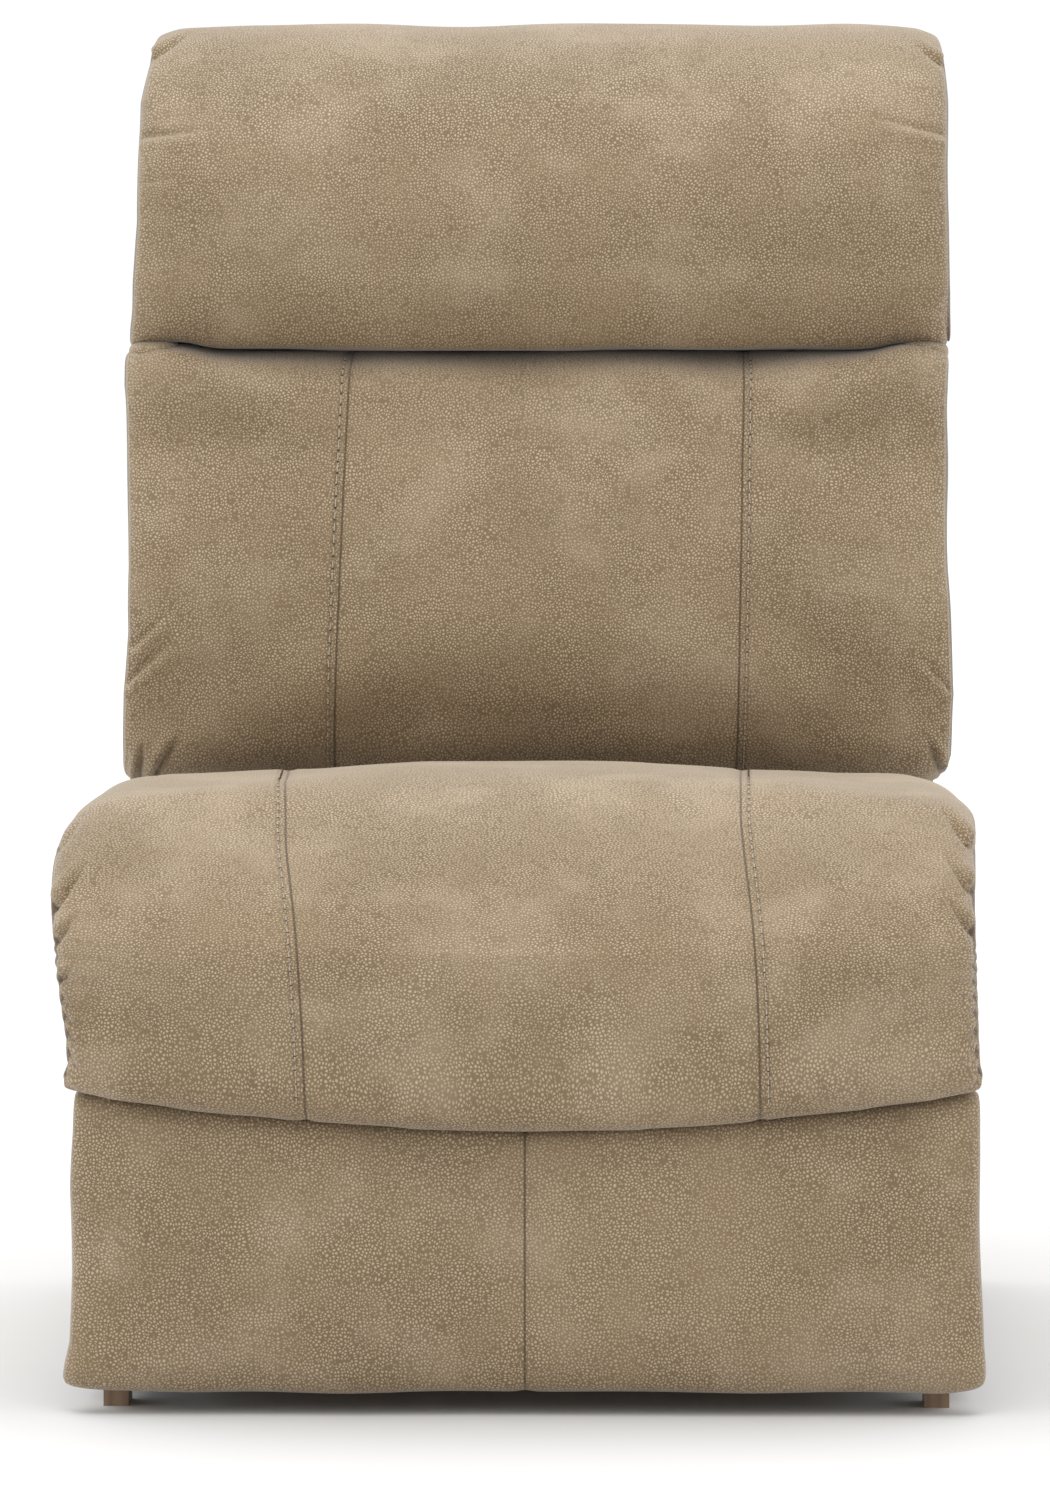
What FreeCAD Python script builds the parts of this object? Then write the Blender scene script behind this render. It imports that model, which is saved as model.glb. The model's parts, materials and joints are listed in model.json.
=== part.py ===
import FreeCAD, Part
import Sketcher
import math
import os
import re

os.makedirs("parts", exist_ok=True)
doc = FreeCAD.newDocument("recliner")

# Driving sizes in millimetres and degrees. X is across the seat, the front faces -Y.
# "front" and "back" distances are measured from the middle of the seat's depth.
SIZES = [
    ("overall_width", 660, "across the seat roll"),
    ("overall_depth", 1020, "front of the seat roll to the top of the back"),
    ("overall_height", 1040, "floor to the top of the head bolster"),
    ("clearance", 0.4, "running gap between moving sheets"),
    ("foot_height", 30, "wooden foot"),
    ("foot_width", 18, "wooden foot, across"),
    ("foot_depth", 36, "wooden foot, front to back"),
    ("rail_set_in", 2, "floor rail behind the side panel"),
    ("rail_depth", 22, "width of the floor rail section"),
    ("rail_height", 32, "height of the floor rail section"),
    ("rail_wall", 2.5, "sheet of the floor rail"),
    ("rail_set_back", 12, "floor rails behind the front rail"),
    ("rail_rear_set_in", 180, "floor rails from the rear"),
    ("tube_radius", 12.5, "cross tubes"),
    ("tube_wall", 2, "cross tubes"),
    ("front_tube_set_back", 310, "front floor tube behind the front rail"),
    ("rear_tube_set_in", 360, "rear floor tube from the rear"),
    ("block_length", 40, "slide block"),
    ("front_block_set_back", 190, "front slide block behind the front rail"),
    ("rear_block_set_in", 410, "rear slide block from the rear"),
    ("side_overhang", 7, "seat roll beyond the side panel"),
    ("plate_thick", 4, "mechanism plate"),
    ("link_thick", 3, "link sheet"),
    ("link_gap", 3, "washer between link layers"),
    ("bar_half", 10, "half width of a link"),
    ("pin_radius", 4, "link pins"),
    ("pin_play", 0.05, "radial play of a link on its pin"),
    ("head_radius", 7, "pin head"),
    ("head_thick", 1.6, "pin head"),
    ("rear_pivot_set_back", 115, "rear link pivot behind the front rail"),
    ("rear_pivot_height", 200, "rear link pivot on the plate"),
    ("link_length", 156, "rear and front links"),
    ("link_rest_angle", 16.7, "links lean back from straight down at rest"),
    ("upper_length", 184, "upper link, elbow to footrest pivot"),
    ("upper_angle", 45, "upper link above level"),
    ("crank_offset", 51, "elbow to front link pin on the upper link"),
    ("control_offset", 34, "control pin beyond the crank pin"),
    ("torque_radius", 9.5, "tube joining the two rear links"),
    ("drive_tube_set_back", 305, "tube the actuator hangs on"),
    ("drive_height", 100, "actuator axis"),
    ("gearbox_size", 56, "actuator gearbox"),
    ("actuator_tube_radius", 15, "actuator outer tube"),
    ("gearbox_reach", 40, "gearbox behind the drive tube"),
    ("anchor_wall", 6, "rod anchor round the rear floor tube"),
    ("anchor_gap", 26.5, "outer tube in front of the rod anchor"),
    ("anchor_depth", 25, "rod in its anchor"),
    ("rod_radius", 9, "actuator rod"),
    ("rod_play", 0.5, "rod in its tube"),
    ("motor_radius", 23, "actuator motor"),
    ("motor_length", 95, "actuator motor"),
    ("seat_rail_thick", 38, "wooden side rail"),
    ("seat_rail_bottom", 225, "wooden rails"),
    ("seat_rail_top", 325, "wooden rails"),
    ("roll_gap", 2, "roll in front of the front rail"),
    ("front_rail_thick", 22, "front and rear rails"),
    ("front_rail_lift", 18, "front rail above the others, over the links"),
    ("rear_rail_set_in", 338, "rear rail from the rear"),
    ("strap_width", 60, "elastic strap"),
    ("strap_thick", 2, "elastic strap"),
    ("strap_pitch", 100, "seat straps"),
    ("seat_crest", 454, "highest line of the seat"),
    ("seat_crest_set_back", 90, "highest line of the seat"),
    ("seat_rear_set_in", 392, "rear end of the seat cushion from the rear"),
    ("tongue_length", 50, "low rear end of the seat cushion, under the back"),
    ("tongue_height", 60, "low rear end of the seat cushion"),
    ("seat_rear_drop", 16, "seat slopes down to the back"),
    ("roll_thick", 68, "roll hanging in front of the front rail"),
    ("roll_belly", 345, "height where the roll is furthest forward"),
    ("lip_height", 208, "lower edge of the roll at the middle"),
    ("lip_arch", 30, "rise of that edge to the sides"),
    ("panel_thick", 15, "side panel"),
    ("panel_bottom", 48, "side panel"),
    ("panel_set_back", 24, "side panel behind the front rail"),
    ("switch_front", 170, "middle of the switch plate"),
    ("switch_height", 275, "middle of the switch plate"),
    ("switch_thick", 3, "switch plate"),
    ("switch_pitch", 26, "between the two buttons"),
    ("button_radius", 8, "button"),
    ("button_play", 0.4, "button in its hole"),
    ("button_travel", 2, "button"),
    ("board_thick", 12, "footrest board"),
    ("board_set_back", 9, "footrest board behind the front rail's face"),
    ("board_bottom", 30, "footrest board"),
    ("board_height", 168, "footrest board"),
    ("board_set_in", 13, "footrest board inside its cushion"),
    ("footrest_pad", 45, "footrest cushion"),
    ("footrest_bottom", 24, "footrest cushion"),
    ("footrest_set_in", 9, "footrest cushion inside the roll"),
    ("footrest_gap", 5, "under the roll's lip"),
    ("lean", 12, "back frame from upright"),
    ("crown_rise", 40, "head bolster above the outside back"),
    ("outside_thick", 26, "padded outside back"),
    ("frame_thick", 30, "wooden back frame"),
    ("side_thick", 18, "padded edge of the back"),
    ("outside_set_in", 5, "outside back inside the roll"),
    ("tail_gap", 4, "narrow lower part of the outside back inside the plates"),
    ("tail_length", 250, "narrow part, along the lean"),
    ("stile_width", 30, "back stile"),
    ("stile_lift", 16, "stile above the lower edge of the wide part"),
    ("bracket_thick", 4, "back bracket"),
    ("back_pivot_set_in", 245, "back pivot from the rear"),
    ("back_pivot_height", 345, "back pivot"),
    ("back_pin_radius", 6, "back pivot pin"),
    ("lumbar_bottom", 402, "lumbar cushion"),
    ("bolster_height", 273, "seam to the top of the head bolster"),
    ("head_gap", 1, "between lumbar cushion and head bolster"),
    ("cushion_set_in", 3, "back cushions inside the roll"),
    ("back_seam_share", 0.24, "upright seams of the lumbar cushion, share of the width"),
    ("seat_seam_share", 0.247, "seams of the seat cushion, share of the width"),
    ("seam_depth", 5, "seams drawn in"),
]
sheet = doc.addObject("Spreadsheet::Sheet", "dims")
for row, (alias, value, note) in enumerate(SIZES, 1):
    sheet.set("A%d" % row, note)
    sheet.set("B%d" % row, str(value))
    sheet.setAlias("B%d" % row, alias)
doc.recompute()

nodes = []
slope = 1 / math.cos(math.radians(float(sheet.get("lean"))))

# Places that follow the driving sizes, each a sum of sizes times a factor
TIED = {
    "plate_inner": [("overall_width", 0.5), ("side_overhang", -1), ("panel_thick", -1),
                    ("seat_rail_thick", -1), ("plate_thick", -1)],
    "rail_outer": [("overall_width", 0.5), ("side_overhang", -1), ("panel_thick", -1),
                   ("rail_set_in", -1)],
    "back_half": [("overall_width", 0.5), ("outside_set_in", -1)],
    "cushion_half": [("overall_width", 0.5), ("cushion_set_in", -1)],
    "footrest_half": [("overall_width", 0.5), ("footrest_set_in", -1)],
    "board_half": [("footrest_half", 1), ("board_set_in", -1)],
    "tail_half": [("plate_inner", 1), ("tail_gap", -1)],
    "seat_rail_front": [("overall_depth", 0.5), ("roll_thick", -1), ("roll_gap", -1)],
    "panel_front": [("seat_rail_front", 1), ("panel_set_back", -1)],
    "rail_front": [("seat_rail_front", 1), ("rail_set_back", -1)],
    "board_rear": [("seat_rail_front", 1), ("board_set_back", -1)],
    "rear_pivot_front": [("seat_rail_front", 1), ("rear_pivot_set_back", -1)],
    "front_block_front": [("seat_rail_front", 1), ("front_block_set_back", -1)],
    "front_tube_front": [("seat_rail_front", 1), ("front_tube_set_back", -1)],
    "drive_tube_front": [("seat_rail_front", 1), ("drive_tube_set_back", -1)],
    "seat_crest_front": [("seat_rail_front", 1), ("seat_crest_set_back", -1)],
    "back_pivot_back": [("overall_depth", 0.5), ("back_pivot_set_in", -1)],
    "rear_rail_back": [("overall_depth", 0.5), ("rear_rail_set_in", -1)],
    "seat_rear": [("overall_depth", 0.5), ("seat_rear_set_in", -1)],
    "rail_back": [("overall_depth", 0.5), ("rail_rear_set_in", -1)],
    "rear_tube_back": [("overall_depth", 0.5), ("rear_tube_set_in", -1)],
    "rear_block_back": [("overall_depth", 0.5), ("rear_block_set_in", -1)],
    "anchor_front": [("rear_tube_back", 1), ("tube_radius", -1), ("anchor_wall", -1)],
    "stroke_length": [("anchor_front", 1), ("anchor_gap", -1), ("drive_tube_front", 1),
                      ("gearbox_reach", -1)],
    "back_top": [("overall_height", 1), ("crown_rise", -1)],
    "head_seam": [("overall_height", 1), ("bolster_height", -1)],
    "wide_length": [("back_top", slope), ("lumbar_bottom", -slope)],
    "stile_length": [("wide_length", 1), ("stile_lift", -1)],
}


def size(alias):
    if alias in TIED:
        return sum(size(part) * factor for part, factor in TIED[alias])
    return float(sheet.get(alias))


def spelled(match):
    alias = match.group()
    if alias in TIED:
        terms = ["%.9f*%s" % (factor, part) for part, factor in TIED[alias]]
        return "(" + expanded("+".join(terms)) + ")"
    return "dims." + alias


def expanded(formula):
    return re.sub(r"[a-z][a-z_]{2,}", spelled, formula)


def bind(item, prop, formula):
    item.setExpression(prop, expanded(formula))


def place(item, x, y, z):
    bind(item, "Placement.Base.x", x)
    bind(item, "Placement.Base.y", y)
    bind(item, "Placement.Base.z", z)


def keep(item):
    nodes.append(item)
    return item


def box(label, x, y, z, length, width, height):
    item = doc.addObject("Part::Box", label)
    bind(item, "Length", length)
    bind(item, "Width", width)
    bind(item, "Height", height)
    place(item, x, y, z)
    return item


TURN_X = FreeCAD.Rotation(FreeCAD.Vector(0, 1, 0), 90)
TURN_Y = FreeCAD.Rotation(FreeCAD.Vector(1, 0, 0), -90)


def cylinder(label, radius, length, x, y, z, turn=None):
    item = doc.addObject("Part::Cylinder", label)
    bind(item, "Radius", radius)
    bind(item, "Height", length)
    if turn:
        item.Placement = FreeCAD.Placement(FreeCAD.Vector(0, 0, 0), turn)
    place(item, x, y, z)
    return item


def cut(label, base, tools):
    whole = tools[0]
    if len(tools) > 1:
        whole = fuse(label + "_tools", tools)
    item = doc.addObject("Part::Cut", label)
    item.Base = base
    item.Tool = whole
    return item


def fuse(label, members):
    item = doc.addObject("Part::MultiFuse", label)
    item.Shapes = members
    return item


def group(label, members):
    item = doc.addObject("Part::Compound", label)
    item.Links = members
    return item


def mirrored(label, source):
    item = doc.addObject("Part::Mirroring", label)
    item.Source = source
    item.Normal = FreeCAD.Vector(1, 0, 0)
    item.Base = FreeCAD.Vector(0, 0, 0)
    return item


def both_sides(label, source):
    return group(label, [source, mirrored(label + "_left", source)])


def solid(label, shape):
    item = doc.addObject("Part::Feature", label)
    item.Shape = shape
    return item


def tube(label, radius, half, y, z):
    outer = cylinder(label + "_outer", radius, "2*(%s)" % half, "-(%s)" % half, y, z, TURN_X)
    inner = cylinder(label + "_bore", "%s-tube_wall" % radius, "2*(%s)" % half,
                     "-(%s)" % half, y, z, TURN_X)
    return cut(label, outer, [inner])


def origin_plane(body, role):
    return [plane for plane in body.Origin.OriginFeatures if plane.Role == role][0]


def bar(label, holes, half, thick):
    """A flat link with round ends: holes are (distance along, radius), the first at 0."""
    body = doc.addObject("PartDesign::Body", label)
    sketch = body.newObject("Sketcher::SketchObject", label + "_outline")
    sketch.AttachmentSupport = [(origin_plane(body, "XY_Plane"), "")]
    sketch.MapMode = "FlatFace"
    up = FreeCAD.Vector(0, 0, 1)
    circle = Part.Circle(FreeCAD.Vector(0, 0, 0), up, 10)
    sketch.addGeometry(Part.ArcOfCircle(circle, math.pi / 2, 3 * math.pi / 2))
    sketch.addGeometry(Part.LineSegment(FreeCAD.Vector(0, -10, 0), FreeCAD.Vector(150, -10, 0)))
    circle = Part.Circle(FreeCAD.Vector(150, 0, 0), up, 10)
    sketch.addGeometry(Part.ArcOfCircle(circle, -math.pi / 2, math.pi / 2))
    sketch.addGeometry(Part.LineSegment(FreeCAD.Vector(150, 10, 0), FreeCAD.Vector(0, 10, 0)))
    for one, other in ((0, 1), (1, 2), (2, 3), (3, 0)):
        sketch.addConstraint(Sketcher.Constraint("Tangent", one, 2, other, 1))
    sketch.addConstraint(Sketcher.Constraint("Coincident", 0, 3, -1, 1))
    sketch.addConstraint(Sketcher.Constraint("PointOnObject", 2, 3, -1))
    sketch.addConstraint(Sketcher.Constraint("Equal", 0, 2))
    index = sketch.addConstraint(Sketcher.Constraint("Radius", 0, 10))
    sketch.renameConstraint(index, "half")
    bind(sketch, "Constraints.half", half)
    index = sketch.addConstraint(Sketcher.Constraint("DistanceX", -1, 1, 2, 3, 150))
    sketch.renameConstraint(index, "reach")
    bind(sketch, "Constraints.reach", holes[-1][0])
    for number, (along, radius) in enumerate(holes):
        guess = 150 * number / (len(holes) - 1)
        circle = Part.Circle(FreeCAD.Vector(guess, 0, 0), up, 4)
        ring = sketch.addGeometry(circle)
        index = sketch.addConstraint(Sketcher.Constraint("Radius", ring, 4))
        sketch.renameConstraint(index, "hole%d" % number)
        bind(sketch, "Constraints.hole%d" % number, radius)
        if number == 0:
            sketch.addConstraint(Sketcher.Constraint("Coincident", ring, 3, -1, 1))
            continue
        if number == len(holes) - 1:
            sketch.addConstraint(Sketcher.Constraint("Coincident", ring, 3, 2, 3))
            continue
        sketch.addConstraint(Sketcher.Constraint("PointOnObject", ring, 3, -1))
        index = sketch.addConstraint(Sketcher.Constraint("DistanceX", -1, 1, ring, 3, guess))
        sketch.renameConstraint(index, "along%d" % number)
        bind(sketch, "Constraints.along%d" % number, along)
    pad = body.newObject("PartDesign::Pad", label + "_sheet")
    pad.Profile = sketch
    bind(pad, "Length", thick)
    return body


def lay(body, layer, start, end):
    """Puts a bar in the upright plane at X = layer, from one (y, z) point toward another."""
    dy = end[0] - start[0]
    dz = end[1] - start[1]
    along = FreeCAD.Vector(0, dy, dz).normalize()
    out = FreeCAD.Vector(1, 0, 0)
    turn = FreeCAD.Rotation(along, out.cross(along), out, "ZXY")
    body.Placement = FreeCAD.Placement(FreeCAD.Vector(layer, start[0], start[1]), turn)
    return body


def pin(label, radius, inner, outer, point, head=0):
    """A pin along X between two distances from the middle, with a head on its inner end."""
    shank = doc.addObject("Part::Cylinder", label + "_shank" if head else label)
    bind(shank, "Radius", radius)
    shank.Height = outer - inner
    shank.Placement = FreeCAD.Placement(FreeCAD.Vector(inner, point[0], point[1]), TURN_X)
    if not head:
        return shank
    cap = doc.addObject("Part::Cylinder", label + "_head")
    bind(cap, "Radius", "%s+head_radius-pin_radius" % radius)
    bind(cap, "Height", "head_thick")
    start = inner - size("head_thick")
    cap.Placement = FreeCAD.Placement(FreeCAD.Vector(start, point[0], point[1]), TURN_X)
    return fuse(label, [shank, cap])


# Pivots of the footrest linkage at rest, as (y, z). Both links stay parallel, so the
# footrest swings about one point behind the seat roll.
rest = math.radians(size("link_rest_angle"))
swing = (math.sin(rest), -math.cos(rest))
rise = math.radians(size("upper_angle"))
forward = (-math.cos(rise), math.sin(rise))


def moved(point, direction, distance):
    return (point[0] + direction[0] * distance, point[1] + direction[1] * distance)


rear_pivot = (-size("rear_pivot_front"), size("rear_pivot_height"))
front_pivot = moved(rear_pivot, forward, size("crank_offset"))
elbow = moved(rear_pivot, swing, size("link_length"))
crank = moved(front_pivot, swing, size("link_length"))
control = moved(crank, swing, size("control_offset"))
footrest_pivot = moved(elbow, forward, size("upper_length"))
control_end = moved(footrest_pivot, swing, size("control_offset"))
back_pivot = (size("back_pivot_back"), size("back_pivot_height"))

# X of each layer, from the mechanism plate inward
step = size("link_thick") + size("link_gap")
plate_layer = size("plate_inner")
lower_layer = plate_layer - step
upper_layer = lower_layer - step
bracket_layer = upper_layer - step
control_layer = bracket_layer - step

# Floor base: two channel rails open to the middle, two cross tubes, four wooden feet
rail_body = box("rail_body", "rail_outer-rail_depth", "-rail_front", "foot_height",
                "rail_depth", "rail_front+rail_back", "rail_height")
rail_hollow = box("rail_hollow", "rail_outer-rail_depth", "-rail_front", "foot_height+rail_wall",
                  "rail_depth-rail_wall", "rail_front+rail_back", "rail_height-2*rail_wall")
base_rail_right = keep(cut("base_rail_right", rail_body, [rail_hollow]))
base_rail_left = keep(mirrored("base_rail_left", base_rail_right))
tube_half = "rail_outer-rail_wall"
tube_level = "foot_height+rail_height/2"
base_tubes = keep(group("base_tubes", [
    tube("base_front_tube", "tube_radius", tube_half, "-front_tube_front", tube_level),
    tube("base_rear_tube", "tube_radius", tube_half, "rear_tube_back", tube_level),
]))
foot_left_edge = "rail_outer-rail_depth/2-foot_width/2"
front_foot = box("front_foot", foot_left_edge, "-rail_front", "0",
                 "foot_width", "foot_depth", "foot_height")
rear_foot = box("rear_foot", foot_left_edge, "rail_back-foot_depth", "0",
                "foot_width", "foot_depth", "foot_height")
feet = keep(both_sides("feet", group("feet_right", [front_foot, rear_foot])))

# The actuator rod is held on the rear floor tube
anchor_block = box("anchor_block", "-15", "anchor_front", "foot_height+rail_wall",
                   "30", "2*tube_radius+2*anchor_wall", "drive_height+14-foot_height-rail_wall")
anchor_bore = cylinder("anchor_bore", "tube_radius", "30", "-15", "rear_tube_back", tube_level,
                       TURN_X)
anchor_socket = cylinder("anchor_socket", "rod_radius", "anchor_depth", "0", "anchor_front",
                         "drive_height", TURN_Y)
rod_anchor = keep(cut("rod_anchor", anchor_block, [anchor_bore, anchor_socket]))
actuator_rod = keep(cylinder("actuator_rod", "rod_radius", "stroke_length", "0",
                             "anchor_front+anchor_depth-stroke_length", "drive_height", TURN_Y))

# Sliding carriage: nylon blocks run in the rails and carry the two mechanism plates
block_bottom = "foot_height+rail_wall+clearance"
block_left = "rail_outer-rail_depth+2"
block_width = "rail_depth-rail_wall-2-clearance"
blocks = []
for name, middle in (("front_block", "-front_block_front"), ("rear_block", "rear_block_back")):
    blocks.append(box(name, block_left, middle + "-block_length/2", block_bottom, block_width,
                      "block_length", "rail_height-2*rail_wall-2*clearance"))
slide_blocks = keep(both_sides("slide_blocks", group("slide_blocks_right", blocks)))
bushes = []
for name, middle in (("front_bush", "-front_block_front"), ("rear_bush", "rear_block_back")):
    bushes.append(cylinder(name, "9", "rail_outer-rail_depth+2-plate_inner-plate_thick",
                           "plate_inner+plate_thick", middle, tube_level, TURN_X))
slide_bushes = keep(both_sides("slide_bushes", group("slide_bushes_right", bushes)))

# Mechanism plate: a web with two legs down to the blocks and an arm up to the back pivot
def strut(label, layer, thick, start, end, half):
    """A flat rectangle in the upright plane at X = layer, along a line between two points."""
    item = doc.addObject("Part::Box", label)
    item.Length = math.hypot(end[0] - start[0], end[1] - start[1])
    bind(item, "Width", "2*(%s)" % half)
    bind(item, "Height", thick)
    lay(item, layer, start, end)
    item.Placement = item.Placement.multiply(
        FreeCAD.Placement(FreeCAD.Vector(0, -half, 0), FreeCAD.Rotation()))
    return item


web = box("plate_web", "plate_inner", "-rear_pivot_front-22", "rear_pivot_height-118",
          "plate_thick", "rear_pivot_front+22+rear_block_back+34", "168")
ear = box("plate_ear", "plate_inner", "-rear_pivot_front-58", "rear_pivot_height-5",
          "plate_thick", "90", "70")
legs = []
for name, middle in (("front_leg", "-front_block_front"), ("rear_leg", "rear_block_back")):
    legs.append(box(name, "plate_inner", middle + "-24", block_bottom, "plate_thick", "48",
                    "rear_pivot_height-70-foot_height"))
arm_foot = (size("rear_block_back") - 10, size("rear_pivot_height") - 10)
arm = strut("plate_arm", plate_layer, "plate_thick", arm_foot, back_pivot, 22)
arm_end = cylinder("plate_arm_end", "22", "plate_thick", "plate_inner", "back_pivot_back",
                   "back_pivot_height", TURN_X)
plate_blank = fuse("plate_blank", [web, ear, arm, arm_end] + legs)
plate_outer = plate_layer + size("plate_thick")
plate_holes = [
    pin("plate_hole_rear", "pin_radius", plate_layer, plate_outer, rear_pivot),
    pin("plate_hole_front", "pin_radius", plate_layer, plate_outer, front_pivot),
    pin("plate_hole_back", "back_pin_radius", plate_layer, plate_outer, back_pivot),
]
mechanism_plate_right = keep(cut("mechanism_plate_right", plate_blank, plate_holes))
mechanism_plate_left = keep(mirrored("mechanism_plate_left", mechanism_plate_right))

pin_end = lower_layer - 0.5
plate_pins_right = group("plate_pins_right", [
    pin("rear_link_pin", "pin_radius", pin_end, plate_outer, rear_pivot, 1),
    pin("front_link_pin", "pin_radius", pin_end, plate_outer, front_pivot, 1),
])
plate_pins = keep(both_sides("plate_pins", plate_pins_right))
bracket_outer = plate_outer + 2 + size("bracket_thick")
back_pin = pin("back_pin", "back_pin_radius", plate_layer - 1, bracket_outer, back_pivot, 1)
back_pivot_pins = keep(both_sides("back_pivot_pins", back_pin))

# Actuator: the gearbox hangs on the drive tube, the motor in front, the outer tube behind
drive_tube = keep(tube("drive_tube", "tube_radius", "plate_inner", "-drive_tube_front",
                       "drive_height"))
gearbox_front = "-drive_tube_front-24"
gearbox_rear = "-drive_tube_front+gearbox_reach"
gearbox_block = box("gearbox_block", "-gearbox_size/2", gearbox_front,
                    "drive_height-gearbox_size/2", "gearbox_size", "gearbox_reach+24",
                    "gearbox_size")
gearbox_bore = cylinder("gearbox_bore", "tube_radius", "gearbox_size", "-gearbox_size/2",
                        "-drive_tube_front", "drive_height", TURN_X)
actuator_gearbox = keep(cut("actuator_gearbox", gearbox_block, [gearbox_bore]))
actuator_motor = keep(cylinder("actuator_motor", "motor_radius", "motor_length", "0",
                               gearbox_front + "-motor_length", "drive_height", TURN_Y))
power_inlet = keep(cylinder("power_inlet", "8", "14", "0",
                            gearbox_front + "-motor_length-14", "drive_height", TURN_Y))
outer_tube = cylinder("outer_tube", "actuator_tube_radius", "stroke_length", "0",
                      gearbox_rear, "drive_height", TURN_Y)
outer_bore = cylinder("outer_bore", "rod_radius+rod_play", "stroke_length", "0",
                      gearbox_rear, "drive_height", TURN_Y)
actuator_tube = keep(cut("actuator_tube", outer_tube, [outer_bore]))

# Wooden seat box on the plates, with elastic straps over it
rail_tall = "seat_rail_top-seat_rail_bottom"
seat_side_rail_right = keep(box(
    "seat_side_rail_right", "plate_inner+plate_thick", "-seat_rail_front+front_rail_thick",
    "seat_rail_bottom", "seat_rail_thick", "seat_rail_front-front_rail_thick+rear_rail_back",
    rail_tall))
seat_side_rail_left = keep(mirrored("seat_side_rail_left", seat_side_rail_right))
seat_half = "(plate_inner+plate_thick+seat_rail_thick)"
seat_front_rail = keep(box("seat_front_rail", "-" + seat_half, "-seat_rail_front",
                           "seat_rail_bottom+front_rail_lift", "2*" + seat_half,
                           "front_rail_thick", rail_tall + "-front_rail_lift"))
seat_rear_rail = keep(box("seat_rear_rail", "-plate_inner", "rear_rail_back-front_rail_thick",
                          "seat_rail_bottom", "2*plate_inner", "front_rail_thick", rail_tall))
straps = []
for number in range(-2, 3):
    straps.append(box("seat_strap_%d" % (number + 3), "%d*strap_pitch-strap_width/2" % number,
                      "-seat_rail_front+3", "seat_rail_top", "strap_width",
                      "seat_rail_front-3+rear_rail_back-3", "strap_thick"))
seat_straps = keep(group("seat_straps", straps))
heads = []
for number, along in enumerate(("-200", "-60", "60")):
    heads.append(cylinder("rail_bolt_%d" % number, "7", "4", "plate_inner-4", along,
                          "seat_rail_bottom+13", TURN_X))
rail_bolts = keep(both_sides("rail_bolts", group("rail_bolts_right", heads)))

# Padded side panels; the right one carries the switch plate with two buttons
panel_inner = "plate_inner+plate_thick+seat_rail_thick"
panel_blank = box("panel_blank", panel_inner, "-panel_front", "panel_bottom", "panel_thick",
                  "panel_front+rail_back", "seat_rail_top-panel_bottom")
side_panel_left = keep(mirrored("side_panel_left", panel_blank))
panel_face = panel_inner + "+panel_thick"
switch_rows = (("recline_button", "-switch_front-switch_pitch/2"),
               ("return_button", "-switch_front+switch_pitch/2"))
recesses = []
openings = []
for name, along in switch_rows:
    recesses.append(cylinder(name + "_recess", "button_radius+button_play", "10",
                             panel_face + "-10", along, "switch_height", TURN_X))
    openings.append(cylinder(name + "_opening", "button_radius+button_play", "switch_thick",
                             panel_face, along, "switch_height", TURN_X))
side_panel_right = keep(cut("side_panel_right", panel_blank, recesses))
switch_blank = box("switch_blank", panel_face, "-switch_front-32", "switch_height-15",
                   "switch_thick", "64", "30")
switch_plate = keep(cut("switch_plate", switch_blank, openings))
for name, along in switch_rows:
    keep(cylinder(name, "button_radius", "12", panel_face + "-6.5", along, "switch_height",
                  TURN_X))

# Footrest linkage
loose = "pin_radius+pin_play"
rear_link_right = bar("rear_link_right", [("0", loose), ("link_length", "pin_radius")],
                      "bar_half", "link_thick")
keep(lay(rear_link_right, lower_layer, rear_pivot, elbow))
rear_link_left = keep(mirrored("rear_link_left", rear_link_right))
front_link_right = bar("front_link_right", [
    ("0", loose), ("link_length", "pin_radius"), ("link_length+control_offset", "pin_radius"),
], "bar_half", "link_thick")
keep(lay(front_link_right, lower_layer, front_pivot, control))
front_link_left = keep(mirrored("front_link_left", front_link_right))
upper_link_right = bar("upper_link_right", [
    ("0", loose), ("crank_offset", loose), ("upper_length", "pin_radius"),
], "bar_half", "link_thick")
keep(lay(upper_link_right, upper_layer, elbow, footrest_pivot))
upper_link_left = keep(mirrored("upper_link_left", upper_link_right))
control_link_right = bar("control_link_right", [("0", loose), ("upper_length-crank_offset", loose)],
                         "bar_half-1", "link_thick")
keep(lay(control_link_right, control_layer, control, control_end))
control_link_left = keep(mirrored("control_link_left", control_link_right))

lower_outer = lower_layer + size("link_thick")
elbow_pin = pin("elbow_pin", "pin_radius", upper_layer - 0.5, lower_outer, elbow, 1)
elbow_pins = keep(both_sides("elbow_pins", elbow_pin))
front_link_pins_right = group("front_link_pins_right", [
    pin("crank_pin", "pin_radius", upper_layer - 0.5, lower_outer, crank, 1),
    pin("control_pin", "pin_radius", control_layer - 0.5, lower_outer, control, 1),
])
front_link_pins = keep(both_sides("front_link_pins", front_link_pins_right))
upper_outer = upper_layer + size("link_thick")
footrest_pin = pin("footrest_pin", "pin_radius", bracket_layer - 0.3, upper_outer, footrest_pivot)
upper_link_pins = keep(both_sides("upper_link_pins", footrest_pin))
middle = moved(rear_pivot, swing, size("link_length") / 2)
torque_tube = keep(pin("torque_tube", "torque_radius", -lower_layer, lower_layer, middle))

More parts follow.
